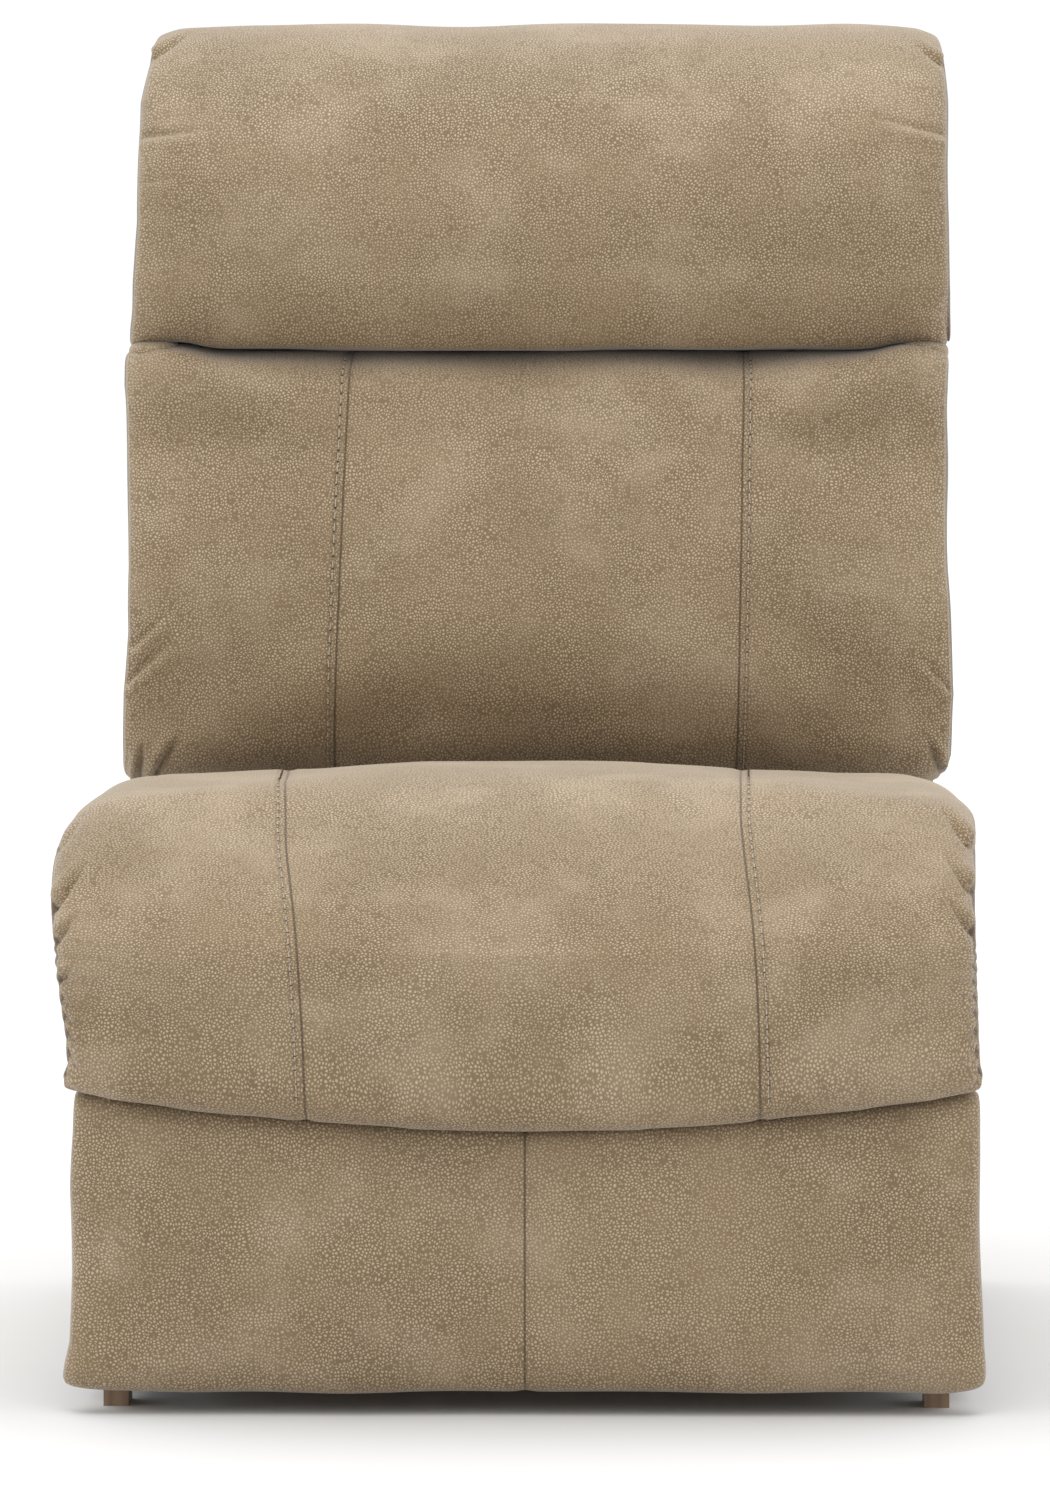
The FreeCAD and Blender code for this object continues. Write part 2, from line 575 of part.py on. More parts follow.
# Footrest: angle brackets, board and padded cushion
bracket_start = "plate_inner-3*(link_thick+link_gap)"
bracket_web = box("bracket_web", bracket_start, "-board_rear", "board_bottom+20", "link_thick",
                  "43", "146")
bracket_flange = box("bracket_flange", bracket_start, "-board_rear", "board_bottom+20", "30",
                     "link_thick", "146")
bracket_edge = bracket_layer + size("link_thick")
bracket_holes = [
    pin("bracket_hole", loose, bracket_layer, bracket_edge, footrest_pivot),
    pin("bracket_pin_hole", "pin_radius", bracket_layer, bracket_edge, control_end),
]
bracket_blank = fuse("bracket_blank", [bracket_web, bracket_flange])
footrest_bracket_right = keep(cut("footrest_bracket_right", bracket_blank, bracket_holes))
footrest_bracket_left = keep(mirrored("footrest_bracket_left", footrest_bracket_right))
bracket_pin = pin("bracket_pin", "pin_radius", control_layer - 0.5, bracket_edge, control_end, 1)
bracket_pins = keep(both_sides("bracket_pins", bracket_pin))
footrest_board = keep(box("footrest_board", "-board_half", "-board_rear-board_thick",
                          "board_bottom", "2*board_half", "board_thick", "board_height"))
screws = []
for number, level in enumerate(("board_bottom+50", "board_bottom+140")):
    screws.append(cylinder("board_screw_%d" % number, "5", "2.5", bracket_start + "+20",
                           "-board_rear+link_thick", level, TURN_Y))
board_screws = keep(both_sides("board_screws", group("board_screws_right", screws)))

# Back frame: pieces are laid along the lean, s up the slope and n forward of the outside face
lean = math.radians(size("lean"))
upright = FreeCAD.Rotation(FreeCAD.Vector(1, 0, 0), -size("lean"))


def lean_point(s, n):
    y = size("overall_depth") / 2 + s * math.sin(lean) - n * math.cos(lean)
    z = size("back_top") + s * math.cos(lean) + n * math.sin(lean)
    return (y, z)


def leaning_box(label, x, s, n, length, thick, height):
    """A box standing on the slope: n is the forward offset of its front face."""
    item = doc.addObject("Part::Box", label)
    bind(item, "Length", length)
    bind(item, "Width", thick)
    bind(item, "Height", height)
    y, z = lean_point(s, n)
    item.Placement = FreeCAD.Placement(FreeCAD.Vector(0, y, z), upright)
    bind(item, "Placement.Base.x", x)
    return item


outside = size("outside_thick")
wide_length = size("wide_length")
frame_front = outside + size("frame_thick")
strap_front = frame_front + size("strap_thick")
wide = leaning_box("outside_wide", "-back_half", -wide_length, outside,
                   "2*back_half", "outside_thick", "wide_length")
tail_start = -wide_length - size("tail_length")
tail = leaning_box("outside_tail", "-tail_half", tail_start, outside,
                   "2*tail_half", "outside_thick", "tail_length")
outside_back = keep(fuse("outside_back", [wide, tail]))
back_side_right = keep(leaning_box("back_side_right", "back_half-side_thick", -wide_length,
                                   frame_front, "side_thick", "frame_thick", "wide_length"))
back_side_left = keep(mirrored("back_side_left", back_side_right))
stile_start = "plate_inner+plate_thick+2+bracket_thick"
stile_bottom = -size("stile_length")
back_stile_right = keep(leaning_box("back_stile_right", stile_start, stile_bottom, frame_front,
                                    "stile_width", "frame_thick", "stile_length"))
back_stile_left = keep(mirrored("back_stile_left", back_stile_right))
back_top_rail = keep(leaning_box("back_top_rail", "-(%s)" % stile_start, -70, frame_front,
                                 "2*(%s)" % stile_start, "frame_thick", "64"))
lower_half = "plate_inner+plate_thick+2"
back_lower_rail = keep(leaning_box("back_lower_rail", "-(%s)" % lower_half, stile_bottom,
                                   frame_front, "2*(%s)" % lower_half, "frame_thick", "64"))
straps = []
for number in range(4):
    straps.append(leaning_box("back_strap_%d" % number, "-(%s+stile_width-4)" % stile_start,
                              132 + 100 * number - wide_length, strap_front,
                              "2*(%s+stile_width-4)" % stile_start, "strap_thick", "strap_width"))
back_straps = keep(group("back_straps", straps))

bracket_inner = plate_outer + 2
knee = lean_point(-wide_length - 20, outside + size("frame_thick") / 2)
shin = strut("back_bracket_shin", bracket_inner, "bracket_thick", back_pivot, knee, 15)
boss = cylinder("back_bracket_boss", "20", "bracket_thick", lower_half, "back_pivot_back",
                "back_pivot_height", TURN_X)
thigh = leaning_box("back_bracket_thigh", lower_half, -wide_length - 32, frame_front - 1, "bracket_thick",
                    "frame_thick-2", "204")
bracket_blank = fuse("back_bracket_blank", [shin, boss, thigh])
bracket_hole = pin("back_bracket_hole", "back_pin_radius+pin_play", bracket_inner,
                   bracket_outer, back_pivot)
back_bracket_right = keep(cut("back_bracket_right", bracket_blank, [bracket_hole]))
back_bracket_left = keep(mirrored("back_bracket_left", back_bracket_right))
heads = []
for number, along in enumerate((152, 107)):
    point = lean_point(along - wide_length, outside + size("frame_thick") / 2)
    heads.append(pin("bracket_bolt_%d" % number, "6", bracket_inner - 4, bracket_inner, point))
bracket_bolts = keep(both_sides("bracket_bolts", group("bracket_bolts_right", heads)))


# Cushions: outlines of lines and arcs in upright planes, joined along the width
def outline(x, start, steps):
    """Steps hold one point for a straight edge, two for an arc through the first."""
    edges = []
    last = FreeCAD.Vector(x, start[0], start[1])
    for points in steps:
        ends = [FreeCAD.Vector(x, y, z) for y, z in points]
        if len(ends) == 1:
            edges.append(Part.LineSegment(last, ends[0]).toShape())
        else:
            edges.append(Part.Arc(last, ends[0], ends[1]).toShape())
        last = ends[-1]
    return Part.Wire(edges)


def crest_bend(crest, end):
    """The middle of an arc that leaves a crest level and reaches the end."""
    across = end[0] - crest[0]
    down = crest[1] - end[1]
    radius = (across * across + down * down) / (2 * down)
    half = math.asin(min(1, abs(across) / radius)) / 2
    side = math.copysign(1, across)
    return (crest[0] + side * radius * math.sin(half), crest[1] - radius * (1 - math.cos(half)))


def plumb_bend(start, end):
    """The middle of an arc that leaves a point straight down and reaches the end."""
    level = crest_bend((start[1], -start[0]), (end[1], -end[0]))
    return (-level[1], level[0])


def widths(half, seam):
    """Positions across a cushion with the amount each outline is drawn in."""
    deep = size("seam_depth")
    right = [(seam / 2, 0), (seam, deep), ((seam + half) / 2, 1), (half - 26, 5), (half - 9, 13),
             (half - 2, 23), (half, 32)]
    left = [(-x, inset) for x, inset in reversed(right)]
    return left + [(0, 0)] + right


seat_half_width = size("overall_width") / 2
seat_floor = size("seat_rail_top") + size("strap_thick")


def seat_outline(x, inset):
    drop = inset * 1.3
    crest = (-size("seat_crest_front"), size("seat_crest") - drop)
    rear = size("seat_rear")
    top = size("seat_crest") - size("seat_rear_drop") - drop
    front = -size("overall_depth") / 2 + inset
    belly = size("roll_belly")
    lip = size("lip_height") + size("lip_arch") * (x / seat_half_width) ** 2 + inset / 8
    inside = -size("seat_rail_front") - size("roll_gap")
    thick = inside - front
    behind = (rear - 24, top)
    toe = (front + thick * 0.4, lip + 5)
    tongue = rear + size("tongue_length")
    shelf = seat_floor + size("tongue_height") - drop * 0.75
    return outline(x, (tongue, seat_floor), [
        [(tongue, shelf - 8)],
        [(rear, shelf)],
        [(rear, top - 24)],
        [(rear - 7, top - 7), behind],
        [crest_bend(crest, behind), crest],
        [crest_bend(crest, (front, belly)), (front, belly)],
        [plumb_bend((front, belly), toe), toe],
        [(front + thick * 0.55, lip), (front + thick * 0.75, lip + 5)],
        [(inside, lip + 22)],
        [(inside, seat_floor)],
        [(tongue, seat_floor)],
    ])


def loft(sections):
    return Part.makeLoft(sections, True, True)


seat_seam = size("overall_width") * size("seat_seam_share")
seat_rows = widths(seat_half_width, seat_seam)
seat_cushion = keep(solid("seat_cushion", loft([seat_outline(x, i) for x, i in seat_rows])))


def footrest_outline(x, inset):
    rear = -size("board_rear") - size("board_thick")
    face = rear - size("footrest_pad") + inset * 0.6
    lip = size("lip_height") + size("lip_arch") * (x / seat_half_width) ** 2
    top = lip - size("footrest_gap") - inset / 8
    bottom = size("footrest_bottom") + inset / 3
    return outline(x, (rear, bottom + 8), [
        [(rear, top - 14)],
        [(rear - 12, top - 3)],
        [(face + 16, top - 2)],
        [(face + 5, top - 9), (face + 1, top - 26)],
        [(face, (top + bottom) / 2), (face + 1, bottom + 24)],
        [(face + 5, bottom + 8), (face + 18, bottom)],
        [(rear - 10, bottom)],
        [(rear, bottom + 8)],
    ])


pad_half = size("footrest_half")
pad_rows = [(-pad_half, 24), (-pad_half + 8, 8), (-pad_half + 30, 2), (-pad_half / 2, 0), (0, 4),
            (pad_half / 2, 0), (pad_half - 30, 2), (pad_half - 8, 8), (pad_half, 24)]
footrest_cushion = keep(solid("footrest_cushion",
                              loft([footrest_outline(x, i) for x, i in pad_rows])))


def slope_y(z):
    fall = size("back_top") - z
    return size("overall_depth") / 2 - fall * math.tan(lean) - strap_front / math.cos(lean)


def lumbar_outline(x, inset):
    bottom = size("lumbar_bottom") + inset / 3
    top = size("head_seam") - size("head_gap") - inset / 4
    front = size("seat_rear") + 7 + inset
    return outline(x, (slope_y(bottom + 3), bottom + 3), [
        [(slope_y(top), top)],
        [(front + 116, top)],
        [(front + 96, top - 5), (front + 80, top - 28)],
        [(front + 20, bottom + 0.52 * (top - bottom)), (front, bottom + 0.14 * (top - bottom))],
        [(front + 6, bottom + 14), (front + 30, bottom)],
        [(slope_y(bottom + 3) - 20, bottom)],
        [(slope_y(bottom + 3), bottom + 3)],
    ])


back_seam = size("overall_width") * size("back_seam_share")
back_rows = widths(size("cushion_half"), back_seam)
lumbar_cushion = keep(solid("lumbar_cushion", loft([lumbar_outline(x, i) for x, i in back_rows])))


def bolster_outline(x, inset):
    bottom = size("head_seam") + inset / 4
    crown = size("overall_height") - inset * 0.6
    front = size("seat_rear") + 92 + inset
    saddle = lean_point(0.6, strap_front)
    behind = lean_point(0.6, 6 + inset / 2)
    crest = (behind[0] - 80, crown)
    brow = (front + 52, crown - 70)
    return outline(x, (slope_y(bottom), bottom), [
        [saddle],
        [behind],
        [crest_bend(crest, behind), crest],
        [crest_bend(crest, brow), brow],
        [(front + 10, crown - 135), (front, bottom + 70)],
        [(front + 4, bottom + 22), (front + 26, bottom)],
        [(slope_y(bottom), bottom)],
    ])


head_rows = [(x, i if abs(x) != back_seam else 1) for x, i in back_rows]
head_bolster = keep(solid("head_bolster", loft([bolster_outline(x, i) for x, i in head_rows])))

doc.recompute()
for item in doc.Objects:
    if "Invalid" in item.State or "Error" in item.State:
        raise RuntimeError(item.Label + " did not compute")
for item in nodes:
    if item.Shape.isNull() or not item.Shape.isValid() or not item.Shape.Solids:
        raise RuntimeError(item.Label + " has no sound solid")
for item in nodes:
    item.Shape.exportStep("parts/%s.step" % item.Label)
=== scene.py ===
import json
import math
import bmesh
import bpy
import numpy as np
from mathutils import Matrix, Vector
from mathutils.bvhtree import BVHTree


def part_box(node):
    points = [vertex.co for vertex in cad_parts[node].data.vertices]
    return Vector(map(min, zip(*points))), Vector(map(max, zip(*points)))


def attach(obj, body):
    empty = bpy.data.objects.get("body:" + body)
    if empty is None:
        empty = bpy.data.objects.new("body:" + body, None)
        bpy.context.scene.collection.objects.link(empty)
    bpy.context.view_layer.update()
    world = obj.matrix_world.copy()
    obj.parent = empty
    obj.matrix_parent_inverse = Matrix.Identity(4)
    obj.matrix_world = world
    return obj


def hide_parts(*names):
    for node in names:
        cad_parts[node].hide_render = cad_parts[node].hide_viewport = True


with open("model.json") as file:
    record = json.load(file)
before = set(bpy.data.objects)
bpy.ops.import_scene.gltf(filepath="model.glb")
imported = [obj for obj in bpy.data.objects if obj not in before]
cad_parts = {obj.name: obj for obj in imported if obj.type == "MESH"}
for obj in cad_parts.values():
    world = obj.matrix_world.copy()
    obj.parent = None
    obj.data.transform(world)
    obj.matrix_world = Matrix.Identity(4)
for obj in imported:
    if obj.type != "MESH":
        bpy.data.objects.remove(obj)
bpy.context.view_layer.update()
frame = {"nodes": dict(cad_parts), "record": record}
solids = frame["nodes"]
scene = bpy.context.scene

# The roll at the front of the seat turns about this line across the seat, by this many radians, and its cover
# starts at the rear of the seat.
ROLL_Y = -0.400
ROLL_Z = 0.330
ROLL_RADIUS = 0.110
ROLL_TURN = 2.6
SEAT_REAR = 0.16

# Where the long seams cross: the seat's at the rear, the crest and the lip, the lumbar's at the top and the bottom.
SEAT_SEAMS = ((-0.196, -0.174, -0.155), (0.162, 0.154, 0.167))
LUMBAR_SEAMS = ((-0.153, -0.165), (0.165, 0.158))

# The lumbar cushion between its upper and lower edge, how far its lower edge turns back and its upper front stands out.
LUMBAR_TOP = 0.766
LUMBAR_BOTTOM = 0.402
LUMBAR_TURN = 0.034
LUMBAR_CROWN = 0.022

# The line where the head bolster meets the lumbar cushion: its height, and its rise near the two ends.
BACK_JOINT = 0.7664
JOINT_RISE = 0.006
JOINT_RISE_AT = 0.295
JOINT_RISE_SPREAD = 0.022
LUMBAR_OVERLAP = 0.0012
HEAD_OVERLAP = 0.0006
JOINT_REACH = 0.040
JOINT_COLUMN = 0.010
JOINT_CORNER = 0.005

# The leather tucks at the ends of that joint: half sizes, place along and up, places across, squareness.
GUSSET_SIZE = (0.022, 0.055, 0.010)
GUSSET_PLACE = (0.278, 0.7650)
GUSSET_ENDS = ((-0.3140, "joint_gusset_left"), (0.3100, "joint_gusset_right"))
GUSSET_SQUARENESS = 0.75

# The lower edge of the seat's roll: its place, its rise towards the ends, and how far and wide it is filled out.
HALF_WIDTH = 0.33
LIP_Y = -0.490
LIP_Z = 0.231
LIP_RISE = 0.030
LIP_SPREAD = 0.020
LIP_FILL = 0.015

# The raised top of the seat near its ends, and the gathers on the ends of its roll.
SHOULDER_X = 0.288
SHOULDER_SPREAD = 0.030
SHOULDER_RISE = 0.007
GATHER_PITCH = 0.0140
GATHER_DEPTH = 0.0026

# Room under the seat's lip for the front links of the raised footrest.
LINK_LINE = 0.2615
LINK_SPREAD = 0.014
LINK_ROOM = 0.0035

# Half the distance between the boxing seams, and how far from a seam its offset is kept.
SEAT_BOXING = 0.3285
BACK_BOXING = 0.3258
SEAM_REACH = 0.030

# Leather and stitches
PEBBLES_PER_METRE = 410.0
STITCH_PITCH = 0.0100
STITCH_LENGTH = 0.0086
STITCH_THICKNESS = 0.0012
# Size of the dark beads of painted shade in the needle holes.
NEEDLE_HOLE_SHADE = 0.0016
STITCH_BAND = 0.0058

# Stuffing: cloth steps, pressure, rounds of evening out, and how far a cushion may swell.
CLOTH_FRAMES = 20
PRESSURE = 4.0
EVENING_ROUNDS = 24
SWELL = 0.022
FOOTREST_SWELL = 0.010


# Shader building

def new_finish(name):
    """A node material with its tree and its shader."""
    finish = bpy.data.materials.new(name)
    finish.use_nodes = True
    return finish, finish.node_tree, finish.node_tree.nodes["Principled BSDF"]


def put(tree, kind, sockets=None, **settings):
    """A shader node; each socket takes a number, a colour or another node's output."""
    made = tree.nodes.new(kind)
    for setting, choice in settings.items():
        setattr(made, setting, choice)
    for socket, feed in (sockets or {}).items():
        if isinstance(feed, bpy.types.NodeSocket):
            tree.links.new(feed, made.inputs[socket])
        else:
            made.inputs[socket].default_value = feed
    return made


def noise(tree, spot, scale, detail=2.0, roughness=0.5):
    """Cloudy noise at a number of clouds per metre."""
    sockets = {"Vector": spot, "Scale": scale, "Detail": detail, "Roughness": roughness}
    return put(tree, "ShaderNodeTexNoise", sockets).outputs["Fac"]


def ramp(tree, value, low, high, to_low=0.0, to_high=1.0):
    """The value eased from one range to another."""
    sockets = {"Value": value, "From Min": low, "From Max": high, "To Min": to_low, "To Max": to_high}
    return put(tree, "ShaderNodeMapRange", sockets, interpolation_type="SMOOTHSTEP").outputs["Result"]


def blend_colours(tree, share, first, second, kind="MIX"):
    """One colour laid over another by a share."""
    sockets = {0: share, 6: first, 7: second}
    return put(tree, "ShaderNodeMix", sockets, data_type="RGBA", blend_type=kind).outputs[2]


def work(tree, operation, first, second):
    """Arithmetic on two values."""
    return put(tree, "ShaderNodeMath", {0: first, 1: second}, operation=operation).outputs[0]


def bumped(tree, shader, height, distance, strength=1.0):
    """Raises the surface by a height field."""
    bump = put(tree, "ShaderNodeBump", {"Height": height, "Distance": distance, "Strength": strength})
    tree.links.new(bump.outputs["Normal"], shader.inputs["Normal"])


def leather_finish(name):
    """Sueded tan leather: pale pebbles over darker valleys, partly the grain's own colour and partly painted highlight
    on the pebble crests and painted shade in the valleys, with cloudy worn patches.
    """
    finish, tree, shader = new_finish(name)
    spot = put(tree, "ShaderNodeTexCoord").outputs["Object"]
    hide = put(tree, "ShaderNodeAttribute", attribute_name="hide").outputs["Vector"]
    drift = put(tree, "ShaderNodeTexNoise", {"Vector": hide, "Scale": 40.0, "Detail": 1.0})
    pull = put(tree, "ShaderNodeVectorMath", {0: drift.outputs["Color"], "Scale": 0.006}, operation="SCALE")
    bent = put(tree, "ShaderNodeVectorMath", {0: hide, 1: pull.outputs[0]}, operation="ADD").outputs[0]
    nearest, second = [put(tree, "ShaderNodeTexVoronoi", {"Vector": bent, "Scale": PEBBLES_PER_METRE},
                           voronoi_dimensions="2D", feature=feature).outputs["Distance"] for feature in ("F1", "F2")]
    pebble = ramp(tree, work(tree, "DIVIDE", nearest, second), 0.08, 0.74, 1.0, 0.0)
    grain = noise(tree, spot, 900.0, 2.0)
    clouds = noise(tree, spot, 6.0, 4.0, 0.55)
    patches = noise(tree, spot, 13.0, 3.0, 0.55)

    tone = blend_colours(tree, ramp(tree, clouds, 0.34, 0.68), (0.232, 0.165, 0.092, 1), (0.300, 0.218, 0.127, 1))
    worn = ramp(tree, patches, 0.46, 0.70, 0.0, 0.75)
    tone = blend_colours(tree, worn, tone, (0.402, 0.309, 0.207, 1))
    contrast = ramp(tree, noise(tree, spot, 30.0, 2.0), 0.30, 0.65, 0.50, 0.74)
    # The pebble valleys are darkened and the crests lightened in the colour: partly the grain's own tone, partly
    # painted shade in the valleys and painted highlight on the crests.
    valley_tone_and_shade = work(tree, "MULTIPLY", work(tree, "SUBTRACT", 0.75, work(tree, "MULTIPLY", pebble, 0.75)), contrast)
    tone = blend_colours(tree, valley_tone_and_shade, tone, (0.150, 0.103, 0.055, 1))
    crest = work(tree, "MULTIPLY", pebble, contrast)
    tone = blend_colours(tree, crest, tone, (0.600, 0.480, 0.330, 1))
    # A thin painted shade along each seam line, darkening the leather where the two panels meet.
    seam = put(tree, "ShaderNodeAttribute", attribute_name="seam_offset").outputs["Fac"]
    line = ramp(tree, work(tree, "ABSOLUTE", seam, 0.0), 0.0004, 0.0013, 0.75, 0.0)
    tone = blend_colours(tree, line, tone, (0.060, 0.040, 0.022, 1))
    tree.links.new(tone, shader.inputs["Base Color"])
    tree.links.new(ramp(tree, pebble, 0.0, 1.0, 0.78, 0.62), shader.inputs["Roughness"])
    height = work(tree, "ADD", pebble, work(tree, "MULTIPLY", grain, 0.25))
    row = put(tree, "ShaderNodeAttribute", attribute_name="stitch_offset").outputs["Fac"]
    sunk = ramp(tree, work(tree, "ABSOLUTE", row, 0.0), 0.0004, 0.0024, 2.2, 0.0)
    bumped(tree, shader, work(tree, "SUBTRACT", height, sunk), 0.0004, 0.8)
    shader.inputs["Sheen Weight"].default_value = 0.36
    shader.inputs["Sheen Roughness"].default_value = 0.40
    shader.inputs["Sheen Tint"].default_value = (1.0, 0.97, 0.93, 1)
    shader.inputs["Specular IOR Level"].default_value = 0.32
    return finish


def thread_finish(name):
    """Tan sewing thread with its twist."""
    finish, tree, shader = new_finish(name)
    spot = put(tree, "ShaderNodeTexCoord").outputs["Object"]
    twist = put(tree, "ShaderNodeTexWave", {"Vector": spot, "Scale": 900.0, "Distortion": 1.5},
                bands_direction="DIAGONAL")
    shade = blend_colours(tree, twist.outputs["Fac"], (0.46, 0.385, 0.295, 1), (0.60, 0.515, 0.410, 1))
    tree.links.new(shade, shader.inputs["Base Color"])
    bumped(tree, shader, twist.outputs["Fac"], 0.0002)
    shader.inputs["Roughness"].default_value = 0.6
    shader.inputs["Sheen Weight"].default_value = 0.2
    return finish


def timber_finish(name, pale, dark, rings, stretch):
    """Planed wood with rings and pores along one direction."""
    finish, tree, shader = new_finish(name)
    spot = put(tree, "ShaderNodeTexCoord").outputs["Object"]
    along = put(tree, "ShaderNodeMapping", {"Vector": spot, "Scale": stretch}).outputs["Vector"]
    sockets = {"Vector": along, "Scale": rings, "Distortion": 5.0, "Detail": 3.0, "Detail Scale": 1.6}
    figure = put(tree, "ShaderNodeTexWave", sockets, wave_type="BANDS", bands_direction="X").outputs["Fac"]
    pores = noise(tree, along, rings * 14.0, 4.0, 0.65)
    blotch = noise(tree, spot, 24.0, 3.0)
    tone = blend_colours(tree, figure, pale, dark)
    tone = blend_colours(tree, ramp(tree, pores, 0.55, 0.75, 0.0, 0.5), tone, dark)
    tone = blend_colours(tree, ramp(tree, blotch, 0.35, 0.7, 0.0, 0.35), tone, pale)
    tree.links.new(tone, shader.inputs["Base Color"])
    tree.links.new(ramp(tree, pores, 0.3, 0.8, 0.48, 0.66), shader.inputs["Roughness"])
    bumped(tree, shader, pores, 0.0003, 0.5)
    return finish


def steel_finish(name, pale, dark, metallic, rough, scratch):
    """Steel, painted or bright, with fine orange peel or brush marks and rubbed patches."""
    finish, tree, shader = new_finish(name)
    spot = put(tree, "ShaderNodeTexCoord").outputs["Object"]
    marks = put(tree, "ShaderNodeMapping", {"Vector": spot, "Scale": scratch}).outputs["Vector"]
    lines = noise(tree, marks, 260.0, 3.0, 0.6)
    rub = noise(tree, spot, 18.0, 5.0, 0.6)
    tone = blend_colours(tree, ramp(tree, rub, 0.35, 0.70), dark, pale)
    tree.links.new(tone, shader.inputs["Base Color"])
    wear = work(tree, "ADD", ramp(tree, rub, 0.3, 0.7, rough, rough + 0.12), work(tree, "MULTIPLY", lines, 0.10))
    tree.links.new(wear, shader.inputs["Roughness"])
    bumped(tree, shader, lines, 0.00012, 0.4)
    shader.inputs["Metallic"].default_value = metallic
    return finish


def moulded_finish(name, pale, dark, grain_scale, rough):
    """Moulded plastic with a spark-eroded grain."""
    finish, tree, shader = new_finish(name)
    spot = put(tree, "ShaderNodeTexCoord").outputs["Object"]
    grain = put(tree, "ShaderNodeTexVoronoi", {"Vector": spot, "Scale": grain_scale}).outputs["Distance"]
    dust = noise(tree, spot, 40.0, 4.0, 0.6)
    tone = blend_colours(tree, ramp(tree, dust, 0.4, 0.7), dark, pale)
    tree.links.new(tone, shader.inputs["Base Color"])
    tree.links.new(ramp(tree, dust, 0.3, 0.7, rough, rough + 0.15), shader.inputs["Roughness"])
    bumped(tree, shader, grain, 0.00015, 0.5)
    return finish


def webbing_finish(name):
    """Woven elastic webbing: ribs of yarn with a darker gap between them."""
    finish, tree, shader = new_finish(name)
    spot = put(tree, "ShaderNodeTexCoord").outputs["Object"]
    ribs = put(tree, "ShaderNodeTexWave", {"Vector": spot, "Scale": 130.0}, bands_direction="X").outputs["Fac"]
    picks = put(tree, "ShaderNodeTexWave", {"Vector": spot, "Scale": 240.0}, bands_direction="Y").outputs["Fac"]
    weave = work(tree, "MULTIPLY", ribs, picks)
    fuzz = noise(tree, spot, 600.0, 2.0)
    tone = blend_colours(tree, weave, (0.055, 0.053, 0.050, 1), (0.20, 0.19, 0.175, 1))
    tone = blend_colours(tree, ramp(tree, fuzz, 0.5, 0.8, 0.0, 0.4), tone, (0.28, 0.265, 0.24, 1))
    tree.links.new(tone, shader.inputs["Base Color"])
    bumped(tree, shader, weave, 0.0006)
    shader.inputs["Roughness"].default_value = 0.85
    return finish


leather = leather_finish("tan_leather")
thread = thread_finish("tan_thread")
# Near-black beads that stand in as painted shade inside the needle holes between the stitches.
needle_hole_shade = moulded_finish("needle_hole_shade", (0.075, 0.052, 0.032, 1), (0.045, 0.030, 0.018, 1), 900.0, 0.8)
finishes = {
    "frame_wood": timber_finish("planed_pine", (0.56, 0.41, 0.24, 1), (0.40, 0.26, 0.13, 1), 14.0, (1.0, 0.12, 1.0)),
    "foot_wood": timber_finish("pale_beech", (0.30, 0.205, 0.125, 1), (0.20, 0.130, 0.075, 1), 30.0,
                               (1.0, 1.0, 0.15)),
    "dark_steel": steel_finish("black_enamel", (0.040, 0.040, 0.042, 1), (0.016, 0.016, 0.017, 1), 0.0, 0.34,
                               (1.0, 1.0, 1.0)),
    "bright_steel": steel_finish("zinc_plate", (0.70, 0.69, 0.66, 1), (0.52, 0.52, 0.51, 1), 1.0, 0.28,
                                 (6.0, 0.4, 0.4)),
    "black_plastic": moulded_finish("black_moulding", (0.035, 0.035, 0.036, 1), (0.018, 0.018, 0.019, 1), 900.0,
                                    0.48),
    "button_plastic": moulded_finish("grey_button", (0.42, 0.42, 0.41, 1), (0.33, 0.33, 0.325, 1), 1400.0, 0.36),
    "nylon": moulded_finish("white_nylon", (0.74, 0.73, 0.68, 1), (0.62, 0.61, 0.56, 1), 700.0, 0.40),
    "strap": webbing_finish("elastic_webbing"),
    "upholstery": leather,
}


# Mesh shaping

def points_of(mesh):
    """A mesh's points as rows of x, y, z."""
    flat = np.empty(len(mesh.vertices) * 3)
    mesh.vertices.foreach_get("co", flat)
    return flat.reshape(-1, 3)


def normals_of(mesh):
    """The outward direction at each point of a mesh."""
    flat = np.empty(len(mesh.vertices) * 3)
    mesh.vertex_normals.foreach_get("vector", flat)
    return flat.reshape(-1, 3)


def move_points(mesh, points):
    """Puts a mesh's points where the rows say."""
    mesh.vertices.foreach_set("co", points.ravel())
    mesh.update()


def ease(low, high, values):
    """0 below low, 1 above high and a smooth step between."""
    share = np.clip((values - low) / (high - low), 0.0, 1.0)
    return share * share * (3.0 - 2.0 * share)


def waver(points, pitch, seed):
    """A slow random wave over space, about -1 to 1, with that many metres from crest to crest."""
    dice = np.random.RandomState(seed)
    total = np.zeros(len(points))
    for _ in range(7):
        way = dice.normal(size=3)
        way *= dice.uniform(0.7, 1.4) / np.linalg.norm(way)
        total += np.sin(2.0 * math.pi * (points @ way) / pitch + dice.uniform(0.0, 6.28))
    return total / 3.5


def baked(holder):
    """Replaces an object's mesh by what its modifiers make of it."""
    bpy.context.view_layer.update()
    shaped = bpy.data.meshes.new_from_object(holder.evaluated_get(bpy.context.evaluated_depsgraph_get()))
    holder.modifiers.clear()
    plain = holder.data
    holder.data = shaped
    bpy.data.meshes.remove(plain)


